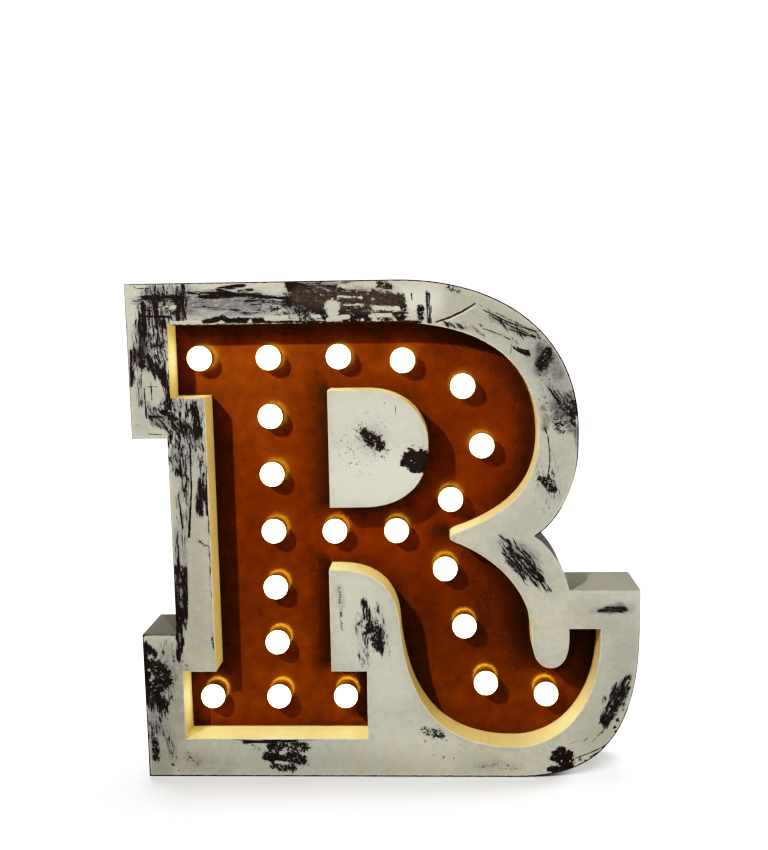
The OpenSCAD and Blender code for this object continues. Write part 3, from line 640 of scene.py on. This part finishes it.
def worn_cream(name):
    m = Mat(name)
    wv, wh, wd, we = m.rgba("wear_a")
    wi, ws, wz, scrape_highlight = m.rgba("wear_b")
    outer, inner, line, yellow = m.rgba("borders")
    outer, inner = m.mul(outer, 40.0), m.mul(inner, 40.0)
    grime_a, clean, keep, wt = m.rgba("age")
    wm, wl, brown, _ = m.rgba("smudge")
    fine = m.noise(m.co, 480, 3, 0.6)
    grit = m.add(m.mul(fine, 0.20), -0.10)
    bent = m.warp(26, 0.014)

    def streaks(dens, deg, seed, lengthwise=27, across=250):
        n = m.noise(m.along(deg, lengthwise, across, seed, bent), 1.0, 4, 0.68, 0.25)
        broad = m.noise(m.along(deg, lengthwise * 0.5, across * 0.36, seed + 40, bent), 1.0, 3, 0.6, 0.3)
        n = m.add(m.add(m.mul(n, 0.66), m.mul(broad, 0.34)), grit)
        thr = m.add(0.67, m.mul(dens, -0.27))
        on = m.step(dens, 0.03, 0.14)
        k = m.step(n, m.add(thr, -0.012), m.add(thr, 0.016))
        return m.mul(k, on), m.mul(m.step(n, m.add(thr, -0.10), m.add(thr, 0.005)), on)

    sv, hv = streaks(wv, LEAN["V"], 3.1)
    sh, hh = streaks(wh, LEAN["H"], 7.7, 26)
    sd, hd = streaks(wd, LEAN["D"], 11.3, 38, 270)
    se, he = streaks(we, LEAN["E"], 17.9, 36, 270)
    st, ht = streaks(wt, LEAN["T"], 29.3, 58, 330)
    blot = m.add(m.mul(m.noise(bent, 145, 4, 0.68, 0.5), 0.6), m.mul(m.noise(m.co, 320, 3, 0.62, 0.3), 0.4))
    blot = m.add(blot, grit)
    thr = m.add(0.68, m.mul(wi, -0.26))
    si = m.mul(m.step(blot, m.add(thr, -0.010), m.add(thr, 0.014)), m.step(wi, 0.03, 0.12))
    chip = m.add(m.add(m.mul(m.noise(m.co, 110, 3, 0.65, 0.4), 0.6), m.mul(m.noise(m.co, 300, 3, 0.65, 0.3), 0.4)), grit)
    level = m.noise(m.along(-2, 34, 190, 51.0, bent), 1.0, 4, 0.68, 0.25)
    ss = m.step(m.add(ws, m.add(m.mul(m.add(chip, -0.5), 2.2), m.mul(m.add(level, -0.5), 1.3))), 0.45, 0.54)
    flecks = m.add(m.mul(m.noise(m.co, 190, 4, 0.65, 0.3), 0.6), m.mul(level, 0.4))
    ss = m.mul(m.mul(ss, m.step(ws, 0.03, 0.15)), m.step(flecks, 0.615, 0.65, 1.0, 0.0))
    sl = m.step(m.add(wl, m.mul(m.add(m.noise(m.co, 95, 4, 0.7), -0.5), 1.7)), 0.34, 0.52)
    sl = m.mul(sl, m.step(wl, 0.05, 0.2))
    kept = m.mul(m.step(m.add(keep, m.add(m.mul(m.add(chip, -0.5), 2.2), m.mul(m.add(level, -0.5), 1.2))), 0.44, 0.54), m.step(keep, 0.03, 0.15))
    # dark line where the paint has gone from the fold
    ragged = m.noise(m.co, 95, 4, 0.65)
    reach = m.mul(line, m.add(1.0, m.mul(ragged, 3.2)))
    rub = m.mul(m.step(m.math("SUBTRACT", outer, reach), -0.6, 0.7, 1.0, 0.0), m.step(line, 0.2, 0.6))
    gone = m.math("SUBTRACT", 1.0, kept)
    bare = m.most(m.mul(m.most(sv, sh, sd, se, st, si, ss), gone), sl, rub)

    # the paint itself
    broad = m.noise(m.co, 5.5, 3, 0.6)
    cloud = m.noise(m.co, 38, 5, 0.65)
    tone = m.add(m.mul(broad, 0.55), m.mul(cloud, 0.45))
    paint = m.ramp(tone, (0.36, lin(200, 201, 186)), (0.5, lin(208, 206, 186)), (0.62, lin(213, 206, 180)))
    brush = m.noise(m.scale(70, 1, 70), 1.0, 5, 0.7, 0.9)
    paint = m.mix(m.step(brush, 0.36, 0.62), m.mix(1.0, paint, (0.88, 0.88, 0.87, 1), "MULTIPLY"), paint)
    paint = m.mix(m.mul(grime_a, m.step(cloud, 0.25, 0.6, 0.55, 1.0)), paint, lin(146, 143, 130))
    # cleaner paint; at the top right of the top band this also paints in a sheen (painted sheen)
    paint = m.mix(m.mul(clean, 0.75), paint, lin(240, 237, 218))
    specks = m.noise(m.co, 430, 2, 0.5)
    paint = m.mix(m.step(specks, 0.71, 0.78, 0.0, 0.45), paint, lin(150, 144, 134))
    paint = m.mix(m.mul(yellow, m.step(cloud, 0.35, 0.6)), paint, lin(201, 184, 128))
    # thin paint over the dark base looks blue-grey
    hi = m.mul(m.step(blot, m.add(thr, -0.09), thr), m.step(wi, 0.03, 0.12))
    wisp = m.add(m.mul(m.noise(m.along(-2, 30, 120, 23.0, bent), 1.0, 5, 0.7, 0.5), 0.6), m.mul(blot, 0.4))
    film_grey = m.mul(wz, m.step(wisp, 0.38, 0.55, 0.25, 1.0))
    thin = m.most(film_grey, m.mul(m.most(hv, hh, ht), 0.85), m.mul(m.most(hd, he, hi), 0.7))
    paint = m.mix(m.mul(m.mul(thin, 0.9), gone), paint, lin(116, 117, 130))
    swirl = m.noise(bent, 46, 5, 0.68, 0.9)
    soft = m.mul(m.mul(wm, gone), m.step(m.add(m.mul(swirl, 0.75), m.mul(blot, 0.25)), 0.36, 0.58, 0.30, 1.0))
    paint = m.mix(m.mul(soft, 0.93), paint, lin(50, 46, 50))
    # painted highlight along the tray edge, just inside the outer fold and beside scratches
    rim = m.most(m.step(inner, 0.8, 2.6, 0.9, 0.0), m.mul(m.step(m.math("ABSOLUTE", m.add(outer, -4.6)), 0.4, 1.8, 1.0, 0.0), 0.30), scrape_highlight)
    paint = m.mix(m.mul(rim, 0.75), paint, lin(232, 229, 208))
    grime = m.mul(m.step(inner, 3.0, 16.0, 0.18, 0.0), m.step(cloud, 0.4, 0.6))
    paint = m.mix(grime, paint, lin(150, 140, 112))

    patch = m.step(m.add(m.mul(m.noise(m.co, 60, 4, 0.65), 0.6), m.mul(fine, 0.4)), 0.36, 0.66)
    base = m.mix(patch, lin(23, 13, 12), lin(50, 31, 26))
    rough = m.step(m.add(m.mul(m.noise(m.co, 130, 4, 0.7), 0.6), m.mul(fine, 0.4)), 0.36, 0.64)
    base = m.mix(brown, base, m.mix(rough, lin(52, 40, 33), lin(92, 77, 65)))
    m.set(Base_Color=m.mix(bare, paint, base))
    m.set(Roughness=m.mixf(bare, m.add(0.36, m.mul(cloud, 0.20)), 0.85), Specular_IOR_Level=0.3)
    flow = m.bump(m.noise(m.co, 9, 2, 0.5), 0.0011, 0.35)
    film = m.bump(m.add(m.mul(bare, -1.0), m.add(m.mul(brush, 0.35), m.mul(fine, 0.12))), 0.00022, 0.7, flow)
    m.set(Normal=film)
    return m.m


def side_cream(name):
    """Outside band: the face's paint in a greyer copy, partly a painted shade on the sides, rubbed through along both
    rims.
    """
    m = Mat(name)
    y = m.axis(1)
    broad = m.noise(m.co, 6, 4, 0.6)
    cloud = m.noise(m.co, 42, 5, 0.65)
    fine = m.noise(m.co, 560, 3, 0.6)
    paint = m.ramp(m.add(m.mul(broad, 0.6), m.mul(cloud, 0.4)),
                   (0.36, lin(158, 155, 148)), (0.5, lin(176, 171, 160)), (0.64, lin(188, 180, 162)))
    drawn = m.noise(m.scale(60, 9, 60), 1.0, 5, 0.6, 0.2)
    paint = m.mix(m.step(drawn, 0.42, 0.62, 0.0, 0.35), paint, lin(134, 131, 128))
    # the lower-left serif's top is darker, with a painted shadow of the stem across its right-hand part
    serif_top_dark = m.mul(m.step(m.axis(0), -0.41, -0.37, 1.0, 0.0), m.mul(m.step(m.axis(2), 0.31, 0.33, 1.0, 0.0), m.step(m.axis(2), 0.270, 0.298)))
    stem_shadow = m.step(m.add(m.mul(m.add(m.axis(0), 0.430), 0.924), m.mul(m.add(m.axis(1), 0.075), 0.389)), -0.0015, 0.0015)
    paint = m.mix(m.mul(serif_top_dark, 0.8), paint, m.mix(stem_shadow, lin(136, 131, 119), lin(110, 105, 94)))
    # the outer band right of x = 0.27 and above z = 0.33; lighter paint there is painted light on the foot's top
    right_band_zone = m.mul(m.step(m.axis(0), 0.24, 0.30), m.step(m.axis(2), 0.30, 0.36))
    paint = m.mix(m.mul(right_band_zone, 0.8), paint, lin(202, 198, 176))
    # painted shade on the leg's right-hand side between the foot's top and the crotch
    leg_side_shade = m.mul(right_band_zone, m.mul(m.step(m.axis(2), 0.394, 0.402), m.step(m.axis(2), 0.49, 0.51, 1.0, 0.0)))
    paint = m.mix(m.mul(leg_side_shade, 0.9), paint, lin(122, 116, 116))
    specks = m.noise(m.co, 380, 2, 0.5)
    paint = m.mix(m.step(specks, 0.70, 0.77, 0.0, 0.5), paint, lin(90, 82, 74))
    front = m.math("SUBTRACT", y, FRONT)
    rear = m.math("SUBTRACT", 0.085, y)
    gap = m.mul(m.math("MINIMUM", front, rear), 1000.0)
    rag = m.add(m.mul(m.noise(m.co, 60, 5, 0.68), 0.75), m.mul(broad, 0.5))
    rub = m.step(m.math("SUBTRACT", m.mul(m.step(rag, 0.52, 0.95), 14.0), gap), -0.8, 0.9)
    lip = m.mul(m.step(gap, 1.4, 2.8, 0.85, 0.0), m.math("SUBTRACT", 1.0, m.mul(serif_top_dark, m.step(y, -0.01, 0.01, 1.0, 0.0))))
    scuffs = m.add(m.noise(m.scale(42, 120, 42), 1.0, 6, 0.72, 0.4), m.mul(m.add(fine, -0.5), 0.14))
    where = m.step(m.noise(m.co, 7.5, 2, 0.5, 0.0), 0.56, 0.72)
    scuff = m.mul(m.step(scuffs, 0.60, 0.66), where)
    bare = m.most(m.mul(rub, m.math("SUBTRACT", 1.0, serif_top_dark)), lip, scuff)
    m.set(Base_Color=m.mix(bare, paint, m.mix(cloud, lin(30, 21, 19), lin(58, 38, 30))))
    m.set(Roughness=m.mixf(bare, m.add(0.42, m.mul(cloud, 0.2)), 0.62))
    flow = m.bump(m.noise(m.co, 10, 2, 0.5), 0.0014, 0.4)
    m.set(Normal=m.bump(m.add(m.mul(bare, -1.0), m.mul(fine, 0.15)), 0.0002, 0.7, flow))
    return m.m


def wall_cream(name):
    """Tray walls: clean cream enamel, a folded seam part of the way in, with a painted highlight behind the seam and
    along the front lip, and painted shade in the corner.
    """
    m = Mat(name)
    y = m.mul(m.math("SUBTRACT", m.axis(1), FRONT), 1000.0)      # mm behind the front
    broad = m.noise(m.co, 8, 4, 0.6)
    cloud = m.noise(m.co, 55, 5, 0.6)
    fine = m.noise(m.co, 520, 3, 0.6)
    paint = m.ramp(m.add(m.mul(broad, 0.6), m.mul(cloud, 0.4)),
                   (0.36, lin(217, 196, 144)), (0.5, lin(225, 204, 150)), (0.64, lin(230, 207, 149)))
    runs = m.noise(m.scale(150, 8, 150), 1.0, 4, 0.6, 0.1)
    paint = m.mix(m.step(runs, 0.50, 0.70, 0.0, 0.20), paint, lin(190, 166, 112))
    # painted shade in the corner against the panel
    corner = m.step(y, 74.0, 80.0, 0.0, 0.40)
    paint = m.mix(m.mul(corner, m.step(cloud, 0.3, 0.7, 0.4, 1.0)), paint, lin(88, 60, 26))
    seam = m.step(m.math("ABSOLUTE", m.add(y, -67.0)), 0.3, 1.0, 0.45, 0.0)
    # painted highlight on the fold just behind the seam
    paint = m.mix(m.step(m.math("ABSOLUTE", m.add(y, -69.5)), 0.8, 2.0, 0.7, 0.0), paint, lin(246, 232, 180))
    paint = m.mix(seam, paint, lin(104, 80, 42))
    # painted highlight along the front lip
    lip = m.step(y, 1.2, 2.4, 0.5, 0.0)
    paint = m.mix(lip, paint, lin(232, 226, 204))
    specks = m.noise(m.co, 330, 2, 0.5)
    paint = m.mix(m.step(specks, 0.70, 0.78, 0.0, 0.5), paint, lin(104, 84, 54))
    m.set(Base_Color=paint)
    m.set(Roughness=m.add(0.38, m.mul(cloud, 0.16)))
    fold = m.step(y, 66.6, 67.4, 1.0, 0.0)
    m.set(Normal=m.bump(m.add(fold, m.add(m.mul(fine, 0.08), m.mul(cloud, 0.5))), 0.0006, 0.6))
    return m.m


def rust(name):
    """Reflector: rusted steel under a satin varnish, with painted shade towards the walls and towards the lower right.
    """
    m = Mat(name)
    rim, lampd, right, under = m.rgba("places")
    rim, lampd = m.mul(rim, 60.0), m.mul(lampd, 100.0)
    broad = m.noise(m.co, 5, 3, 0.5)
    mottle = m.noise(m.co, 38, 4, 0.6)
    grain = m.noise(m.co, 200, 4, 0.66)
    sand = m.noise(m.co, 330, 3, 0.6)
    tone = m.add(m.add(m.mul(broad, 0.28), m.mul(mottle, 0.25)), m.add(m.mul(grain, 0.13), 0.17))
    col = m.ramp(tone, (0.36, lin(58, 22, 1)), (0.46, lin(81, 33, 1)), (0.54, lin(95, 40, 1)), (0.66, lin(119, 54, 2)))
    col = m.mix(m.step(m.axis(2), 0.22, 0.62, 1.0, 0.0), col, (0.96, 1.22, 1.1, 1), "MULTIPLY")
    col = m.mix(m.step(m.axis(2), 0.14, 0.26, 1.0, 0.0), col, (1.28, 1.32, 1.1, 1), "MULTIPLY")
    # painted shade: darker towards the lower right, where the key light falls off
    lower_right_shade = m.mul(m.step(m.axis(0), -0.02, 0.16), m.mul(m.step(m.axis(2), 0.34, 0.56, 1.0, 0.0), m.step(m.axis(2), 0.12, 0.28, 0.35, 1.0)))
    col = m.mix(m.mul(lower_right_shade, 0.9), col, (0.74, 0.74, 0.8, 1), "MULTIPLY")
    spots = m.noise(m.co, 200, 3, 0.6)
    col = m.mix(m.step(spots, 0.68, 0.80, 0.0, 0.25), col, lin(50, 18, 2))
    # painted shade near the walls: a band along all of them, wider beside walls on the right, and below walls overhead
    # where their shadows fall
    edge = m.add(rim, m.mul(m.add(mottle, -0.5), 14.0))
    shade = m.most(m.mul(m.step(edge, 2.0, 36.0, 1.0, 0.0), 0.28), m.mul(m.mul(m.step(edge, 2.0, 66.0, 1.0, 0.0), right), m.step(m.axis(0), 0.26, 0.36, 0.92, 0.26)))
    shade = m.most(shade, m.mul(m.mul(m.step(edge, 8.0, 46.0, 1.0, 0.0), under), 0.66))
    col = m.mix(shade, col, lin(30, 12, 3))
    # painted shadow line where the panel meets the walls
    col = m.mix(m.step(rim, 0.8, 1.8, 0.9, 0.0), col, lin(14, 7, 4))
    m.set(Base_Color=col, Metallic=0.0, IOR=1.7, Specular_IOR_Level=1.0, Specular_Tint=(1.0, 0.52, 0.08, 1.0))
    m.set(Roughness=m.add(m.step(m.axis(2), 0.30, 0.70, 0.145, 0.25), m.mul(grain, 0.03)))
    m.set(Normal=m.bump(m.add(m.mul(grain, 0.35), m.mul(sand, 0.65)), 0.0005, 0.5))
    return m.m


def metal(name, col, rough=0.35, var=0.15, metallic=1.0, grain=900.0, tarnish=None):
    m = Mat(name)
    a = m.noise(m.co, 90, 4, 0.6)
    b = m.noise(m.co, grain, 3, 0.6)
    dark = tuple(c * 0.55 for c in col[:3]) + (1,)
    c = m.mix(m.step(a, 0.35, 0.7), col, dark)
    if tarnish:
        c = m.mix(m.step(m.noise(m.co, 210, 4, 0.65), 0.55, 0.7, 0.0, 0.8), c, tarnish)
    m.set(Base_Color=c, Metallic=metallic)
    m.set(Roughness=m.add(rough - var / 2, m.mul(a, var)))
    m.set(Normal=m.bump(b, 0.00012, 0.5))
    return m.m


def plastic(name, col, rough=0.4, fine=1400.0, wear=None):
    m = Mat(name)
    a = m.noise(m.co, 60, 4, 0.6)
    b = m.noise(m.co, fine, 2, 0.5)
    light = tuple(min(1, c * 1.35 + 0.01) for c in col[:3]) + (1,)
    c = m.mix(m.step(a, 0.3, 0.75), col, light)
    if wear:
        c = m.mix(m.step(m.noise(m.co, 240, 4, 0.7), 0.60, 0.72, 0.0, 0.6), c, wear)
    m.set(Base_Color=c)
    m.set(Roughness=m.add(rough - 0.06, m.mul(a, 0.12)))
    m.set(Normal=m.bump(b, 0.0001, 0.4))
    return m.m


def back_paint(name):
    """Rear panel: dark primer, scuffed and dusty, some rust in patches."""
    m = Mat(name)
    broad = m.noise(m.co, 5, 4, 0.6)
    cloud = m.noise(m.co, 36, 6, 0.68)
    fine = m.noise(m.co, 500, 3, 0.6)
    col = m.ramp(m.add(m.mul(broad, 0.5), m.mul(cloud, 0.5)),
                 (0.34, lin(46, 38, 35)), (0.5, lin(60, 50, 45)), (0.66, lin(78, 66, 58)))
    dust = m.step(m.noise(m.scale(9, 1, 3.2), 1.0, 6, 0.62, 0.4), 0.44, 0.74, 0.0, 0.34)
    col = m.mix(dust, col, lin(118, 106, 94))
    scr = m.noise(m.along(34, 10, 520, 5.0), 1.0, 3, 0.5)
    scr2 = m.noise(m.along(-61, 9, 480, 9.0), 1.0, 3, 0.5)
    scratch = m.mul(m.step(m.math("MAXIMUM", scr, scr2), 0.69, 0.74), m.step(cloud, 0.5, 0.62))
    col = m.mix(m.mul(scratch, 0.7), col, lin(150, 140, 130))
    rusty = m.step(m.add(m.mul(m.noise(m.co, 85, 5, 0.7), 0.7), m.mul(broad, 0.45)), 0.66, 0.76, 0.0, 0.8)
    col = m.mix(rusty, col, lin(112, 58, 26))
    m.set(Base_Color=col)
    m.set(Roughness=m.add(0.42, m.mul(cloud, 0.25)))
    flow = m.bump(m.noise(m.co, 8, 2, 0.5), 0.0016, 0.4)
    m.set(Normal=m.bump(m.add(m.mul(fine, 0.3), m.mul(rusty, 0.6)), 0.0002, 0.6, flow))
    return m.m


face_mat = worn_cream("worn_cream_face")
side_mat = side_cream("worn_cream_side")
wall_mat = wall_cream("cream_enamel_wall")
rust_mat = rust("rust_panel")
brass_mat = metal("brass_ring", lin(196, 128, 44), 0.36, 0.2, 0.9, 1200, lin(92, 54, 20))
steel_mat = metal("zinc_steel", lin(168, 168, 166), 0.34, 0.2)
cap_mat = metal("lamp_cap", lin(196, 190, 176), 0.26, 0.15)
holder_mat = plastic("holder_bakelite", lin(34, 28, 25), 0.38)
black_mat = plastic("black_plastic", lin(26, 26, 27), 0.42)
rocker_mat = plastic("rocker_red", lin(130, 22, 18), 0.3)
term_mat = plastic("terminal_white", lin(206, 202, 190), 0.45)
cable_mat = plastic("cable_grey", lin(74, 72, 70), 0.5)
glass_dark = plastic("cap_insulator", lin(30, 24, 26), 0.2)
rear_mat = back_paint("dark_primer")

opal = Mat("opal_glow")
opal.set(Base_Color=opal.ramp(opal.noise(opal.co, 40, 2, 0.5), (0.3, lin(250, 246, 238)), (0.7, lin(255, 252, 246))))
opal.set(Roughness=0.16, Emission_Color=(1.0, 0.92, 0.62, 1.0))
opal.set(Emission_Strength=opal.step(opal.axis(1), 0.002, 0.0105, 9.2, 0.25))
bulb_mat = opal.m

# ------------------------------------------------------------------ nodes that keep their CAD shape
dress("outer_return", side_mat)
dress("inner_return", wall_mat)
dress("counter_return", wall_mat)
N["inner_return"].visible_glossy = N["counter_return"].visible_glossy = False      # the varnish mirrors the lamps, hardly the walls
for n in ("outer_return", "inner_return", "counter_return"):
    soften(n)
dress("socket_collars", holder_mat)
dress("lampholders", holder_mat)
dress("rear_panel", rear_mat)
for n in ("reflector_rivets", "panel_screws", "panel_tabs", "inlet_screws"):
    dress(n, steel_mat)
dress("inlet_pins", brass_mat)
dress("earth_stud", brass_mat)
dress("power_inlet", black_mat)
dress("switch_housing", black_mat)
dress("switch_rocker", rocker_mat)
dress("terminal_block", term_mat)
dress("supply_leads", cable_mat)
dress("wiring_links", cable_mat)

# ------------------------------------------------------------------ faces with wear
face, face_loops = worn_sheet("front_sheet", "front_face", STROKES, True)
face.data.materials.append(face_mat)
island, island_loops = worn_sheet("counter_sheet", "counter_face", ISLAND_STROKES, False)
island.data.materials.append(face_mat)

# ------------------------------------------------------------------ reflector
lo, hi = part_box("reflector_panel")
panel, P, panel_loops = sheet("rust_sheet", "reflector_panel", lo.y, hi.y - lo.y, 0.005, [])
rim = distance(P, face_loops[1:] + island_loops)
lit = inside(P, face_loops[1:] + island_loops)
centres = []
for i in range(1, 22):
    lo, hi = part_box(f"bulb_{i:02d}")
    centres.append(((lo.x + hi.x) * 500 + HALF_W * 1000, (lo.z + hi.z) * 500))
near = np.min([np.hypot(P[:, 0] - u, P[:, 1] - v) for u, v in centres], axis=0)
ahead = distance(P + (2.0, 0.0), face_loops[1:] + island_loops)
right = np.clip((rim - ahead) / 2.0, 0, 1)        # 1 where the nearest wall is on the right
above = distance(P + (0.0, 2.0), face_loops[1:] + island_loops)
under = np.clip((rim - above) / 2.0, 0, 1)        # 1 where the nearest wall is overhead
colours(panel, "places", np.where(lit, np.clip(rim / 60, 0, 1), 0), np.clip(near / 100, 0, 1), right, under)
panel.data.materials.append(rust_mat)


# ------------------------------------------------------------------ lamps
def lamp_mesh():
    """One globe lamp along +Y from its front pole: opal globe, neck, threaded cap, insulator, contact."""
    rows = []                                    # (radius, y from the globe's centre, material, thread depth)
    for i in range(1, 30):
        a = math.radians(5 * i)
        rows.append((24 * math.sin(a), -24 * math.cos(a), 0, 0))
    rows += [(12.6, 20.6, 0, 0), (11.6, 22.0, 0, 0), (10.6, 24.2, 0, 0), (9.6, 26.8, 0, 0), (8.8, 29.2, 0, 0), (8.1, 30.8, 0, 0)]
    rows += [(7.6, 31.0, 1, 0), (7.0, 31.3, 1, 0), (6.8, 32.2, 1, 0)]
    y = 32.8
    while y < 46.9:
        rows.append((6.62, y, 1, 0.28))
        y += 0.47
    rows += [(6.5, 47.4, 1, 0), (6.0, 48.6, 1, 0), (5.0, 49.6, 1, 0), (4.8, 49.8, 2, 0), (3.4, 50.9, 2, 0), (2.6, 51.0, 2, 0),
             (2.5, 51.2, 1, 0), (2.4, 52.2, 1, 0), (1.8, 53.1, 1, 0), (0.9, 53.4, 1, 0)]
    seg = 48
    verts, faces, mats = [(0, -0.024, 0)], [], []
    for r, y, _, depth in rows:
        for j in range(seg):
            t = 2 * math.pi * j / seg
            rr = r + depth * math.cos(2 * math.pi * (y / 2.82) - t)
            verts.append((rr * math.cos(t) / 1000, y / 1000, rr * math.sin(t) / 1000))
    verts.append((0, 0.0535, 0))
    for j in range(seg):
        faces.append((0, 1 + j, 1 + (j + 1) % seg))
        mats.append(0)
    for i in range(len(rows) - 1):
        a, b = 1 + i * seg, 1 + (i + 1) * seg
        for j in range(seg):
            k = (j + 1) % seg
            faces.append((a + j, b + j, b + k, a + k))
            mats.append(rows[i + 1][2])
    a = 1 + (len(rows) - 1) * seg
    for j in range(seg):
        faces.append((a + j, len(verts) - 1, a + (j + 1) % seg))
        mats.append(1)
    me = bpy.data.meshes.new("globe_lamp")
    me.from_pydata(verts, [], faces)
    me.polygons.foreach_set("material_index", mats)
    me.polygons.foreach_set("use_smooth", np.ones(len(faces), bool))
    me.set_sharp_from_angle(angle=math.radians(60))
    for m in (bulb_mat, cap_mat, glass_dark):
        me.materials.append(m)
    me.update()
    return me


lamp = lamp_mesh()
lamps = []
for i in range(1, 22):
    node = f"bulb_{i:02d}"
    lo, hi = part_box(node)
    ob = bpy.data.objects.new(f"globe_lamp_{i:02d}", lamp)
    scene.collection.objects.link(ob)
    ob.location = ((lo.x + hi.x) / 2, lo.y + 0.024, (lo.z + hi.z) / 2)
    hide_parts(node)
    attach(ob, node)
    lamps.append(ob)

# ------------------------------------------------------------------ floor, light, camera
fm = Mat("floor_white")
fm.set(Base_Color=fm.ramp(fm.noise(fm.co, 3, 3, 0.5), (0.3, (0.80, 0.80, 0.80, 1)), (0.7, (0.82, 0.82, 0.82, 1))), Roughness=0.8)
fm.set(Specular_IOR_Level=0.1)
fme = bpy.data.meshes.new("floor")
R, K = 60.0, 64
fme.from_pydata([(R * math.cos(2 * math.pi * i / K), R * math.sin(2 * math.pi * i / K), -0.0004) for i in range(K)], [], [tuple(range(K))])
floor = bpy.data.objects.new("floor", fme)
floor.data.materials.append(fm.m)
scene.collection.objects.link(floor)
floor.visible_diffuse = False
floor.visible_glossy = False

world = bpy.data.worlds.new("studio")
scene.world = world
world.use_nodes = True
wt = world.node_tree
wt.nodes.clear()
wo = wt.nodes.new("ShaderNodeOutputWorld")
bg_see = wt.nodes.new("ShaderNodeBackground")
bg_lit = wt.nodes.new("ShaderNodeBackground")
mixw = wt.nodes.new("ShaderNodeMixShader")
lp = wt.nodes.new("ShaderNodeLightPath")
bg_see.inputs["Color"].default_value = (1, 1, 1, 1)
bg_see.inputs["Strength"].default_value = 1.8
bg_lit.inputs["Color"].default_value = (0.95, 0.98, 1.0, 1)
bg_lit.inputs["Strength"].default_value = 0.025
wt.links.new(lp.outputs["Is Camera Ray"], mixw.inputs[0])
wt.links.new(bg_lit.outputs[0], mixw.inputs[1])
wt.links.new(bg_see.outputs[0], mixw.inputs[2])
wt.links.new(mixw.outputs[0], wo.inputs[0])


def sun(name, towards, strength, angle, color=(1, 1, 1)):
    d = bpy.data.lights.new(name, "SUN")
    d.energy, d.angle, d.color = strength, math.radians(angle), color
    o = bpy.data.objects.new(name, d)
    o.rotation_mode = "QUATERNION"
    o.rotation_quaternion = Vector(towards).to_track_quat("Z", "Y")
    scene.collection.objects.link(o)
    return o


def area(name, at, aim, size, watts, color=(1, 1, 1)):
    d = bpy.data.lights.new(name, "AREA")
    d.shape, d.size, d.energy, d.color = "DISK", size, watts, color
    o = bpy.data.objects.new(name, d)
    o.location = at
    o.rotation_mode = "QUATERNION"
    o.rotation_quaternion = (Vector(at) - Vector(aim)).to_track_quat("Z", "Y")
    scene.collection.objects.link(o)
    return o


def linked(light, receivers, state="INCLUDE"):
    """Limit a light to the floor, or keep it off the floor."""
    group = bpy.data.collections.new(light.name + "_receivers")
    for o in receivers:
        group.objects.link(o)
    for c in group.collection_objects:
        c.light_linking.link_state = state
    light.light_linking.receiver_collection = group


key = bpy.data.objects.new("key", bpy.data.lights.new("key", "POINT"))
key.data.energy, key.data.shadow_soft_size, key.data.color = 285, 0.045, (1.0, 0.99, 0.97)
key.location = (-1.454, -2.325, 2.130)
scene.collection.objects.link(key)
key_in = bpy.data.objects.new("key_in", bpy.data.lights.new("key_in", "POINT"))
key_in.data.energy, key_in.data.shadow_soft_size, key_in.data.color = 385, 0.045, (1.0, 0.99, 0.97)
key_in.location = key.location
scene.collection.objects.link(key_in)
fill = area("fill", (0.60, -1.55, 0.40), (0.12, -0.085, 0.38), 0.5, 10, (1.0, 0.99, 0.96))
fill_in = area("fill_in", (0.20, -2.2, 0.90), (0.0, 0.0, 0.50), 1.0, 6, (1.0, 0.97, 0.92))
fill_in.visible_glossy = False
top = sun("top", (0.15, 0.35, 1.0), 1.0, 45)
sweep = sun("sweep", (0.05, -0.75, 1.0), 3.0, 30)
lift = sun("lift", (0.02, 0.17, 1.0), 4.2, 16)
side = sun("side", (1.0, 0.5, 0.7), 3.6, 30)
rear = area("rear", (-1.3, 2.3, 1.5), (0.05, 0.085, 0.5), 1.4, 150, (1.0, 0.98, 0.95))
flank = area("flank", (2.5, 0.25, 0.2), (0.4, 0.0, 0.5), 0.36, 28, (1.0, 0.99, 0.96))
flank_left = area("flank_left", (-2.5, 0.25, 0.2), (-0.4, 0.0, 0.5), 0.36, 20, (1.0, 0.99, 0.96))
linked(key, [floor], "EXCLUDE")
linked(rear, [N[n] for n in ("rear_panel", "panel_screws", "power_inlet", "inlet_screws", "inlet_pins", "switch_housing", "switch_rocker",
                             "earth_stud")])
linked(flank, [N["outer_return"]])
linked(flank_left, [N["outer_return"]])
linked(top, [floor], "EXCLUDE")
linked(key_in, [panel])
linked(fill_in, [panel])
linked(fill, [face, island, N["outer_return"]])
linked(sweep, [floor])
linked(lift, [floor])
linked(side, [floor])
for ob in lamps:
    linked(ob, [floor], "EXCLUDE")

cam_data = bpy.data.cameras.new("camera")
cam = bpy.data.objects.new("camera", cam_data)
scene.collection.objects.link(cam)
cam.location = (0.11289, -2.48907, 0.95767)
cam.rotation_euler = tuple(math.radians(a) for a in (79.56802, 0.91557, 2.65708))
cam_data.sensor_width = 36
cam_data.lens = 52.4467
cam_data.shift_y = 0.1235
cam_data.clip_end = 300
scene.camera = cam

scene.view_settings.view_transform = "Standard"
scene.view_settings.use_curve_mapping = True
tone = scene.view_settings.curve_mapping
tone.white_level = (1.5, 1.5, 1.5)
for x, y in ((0.03, 0.014), (0.08, 0.056), (0.20, 0.185), (0.4, 0.4), (0.6, 0.59), (0.8, 0.75), (1.0, 0.87), (1.25, 0.96)):
    tone.curves[3].points.new(x / 1.5, y)
tone.update()
scene.cycles.use_denoising = True
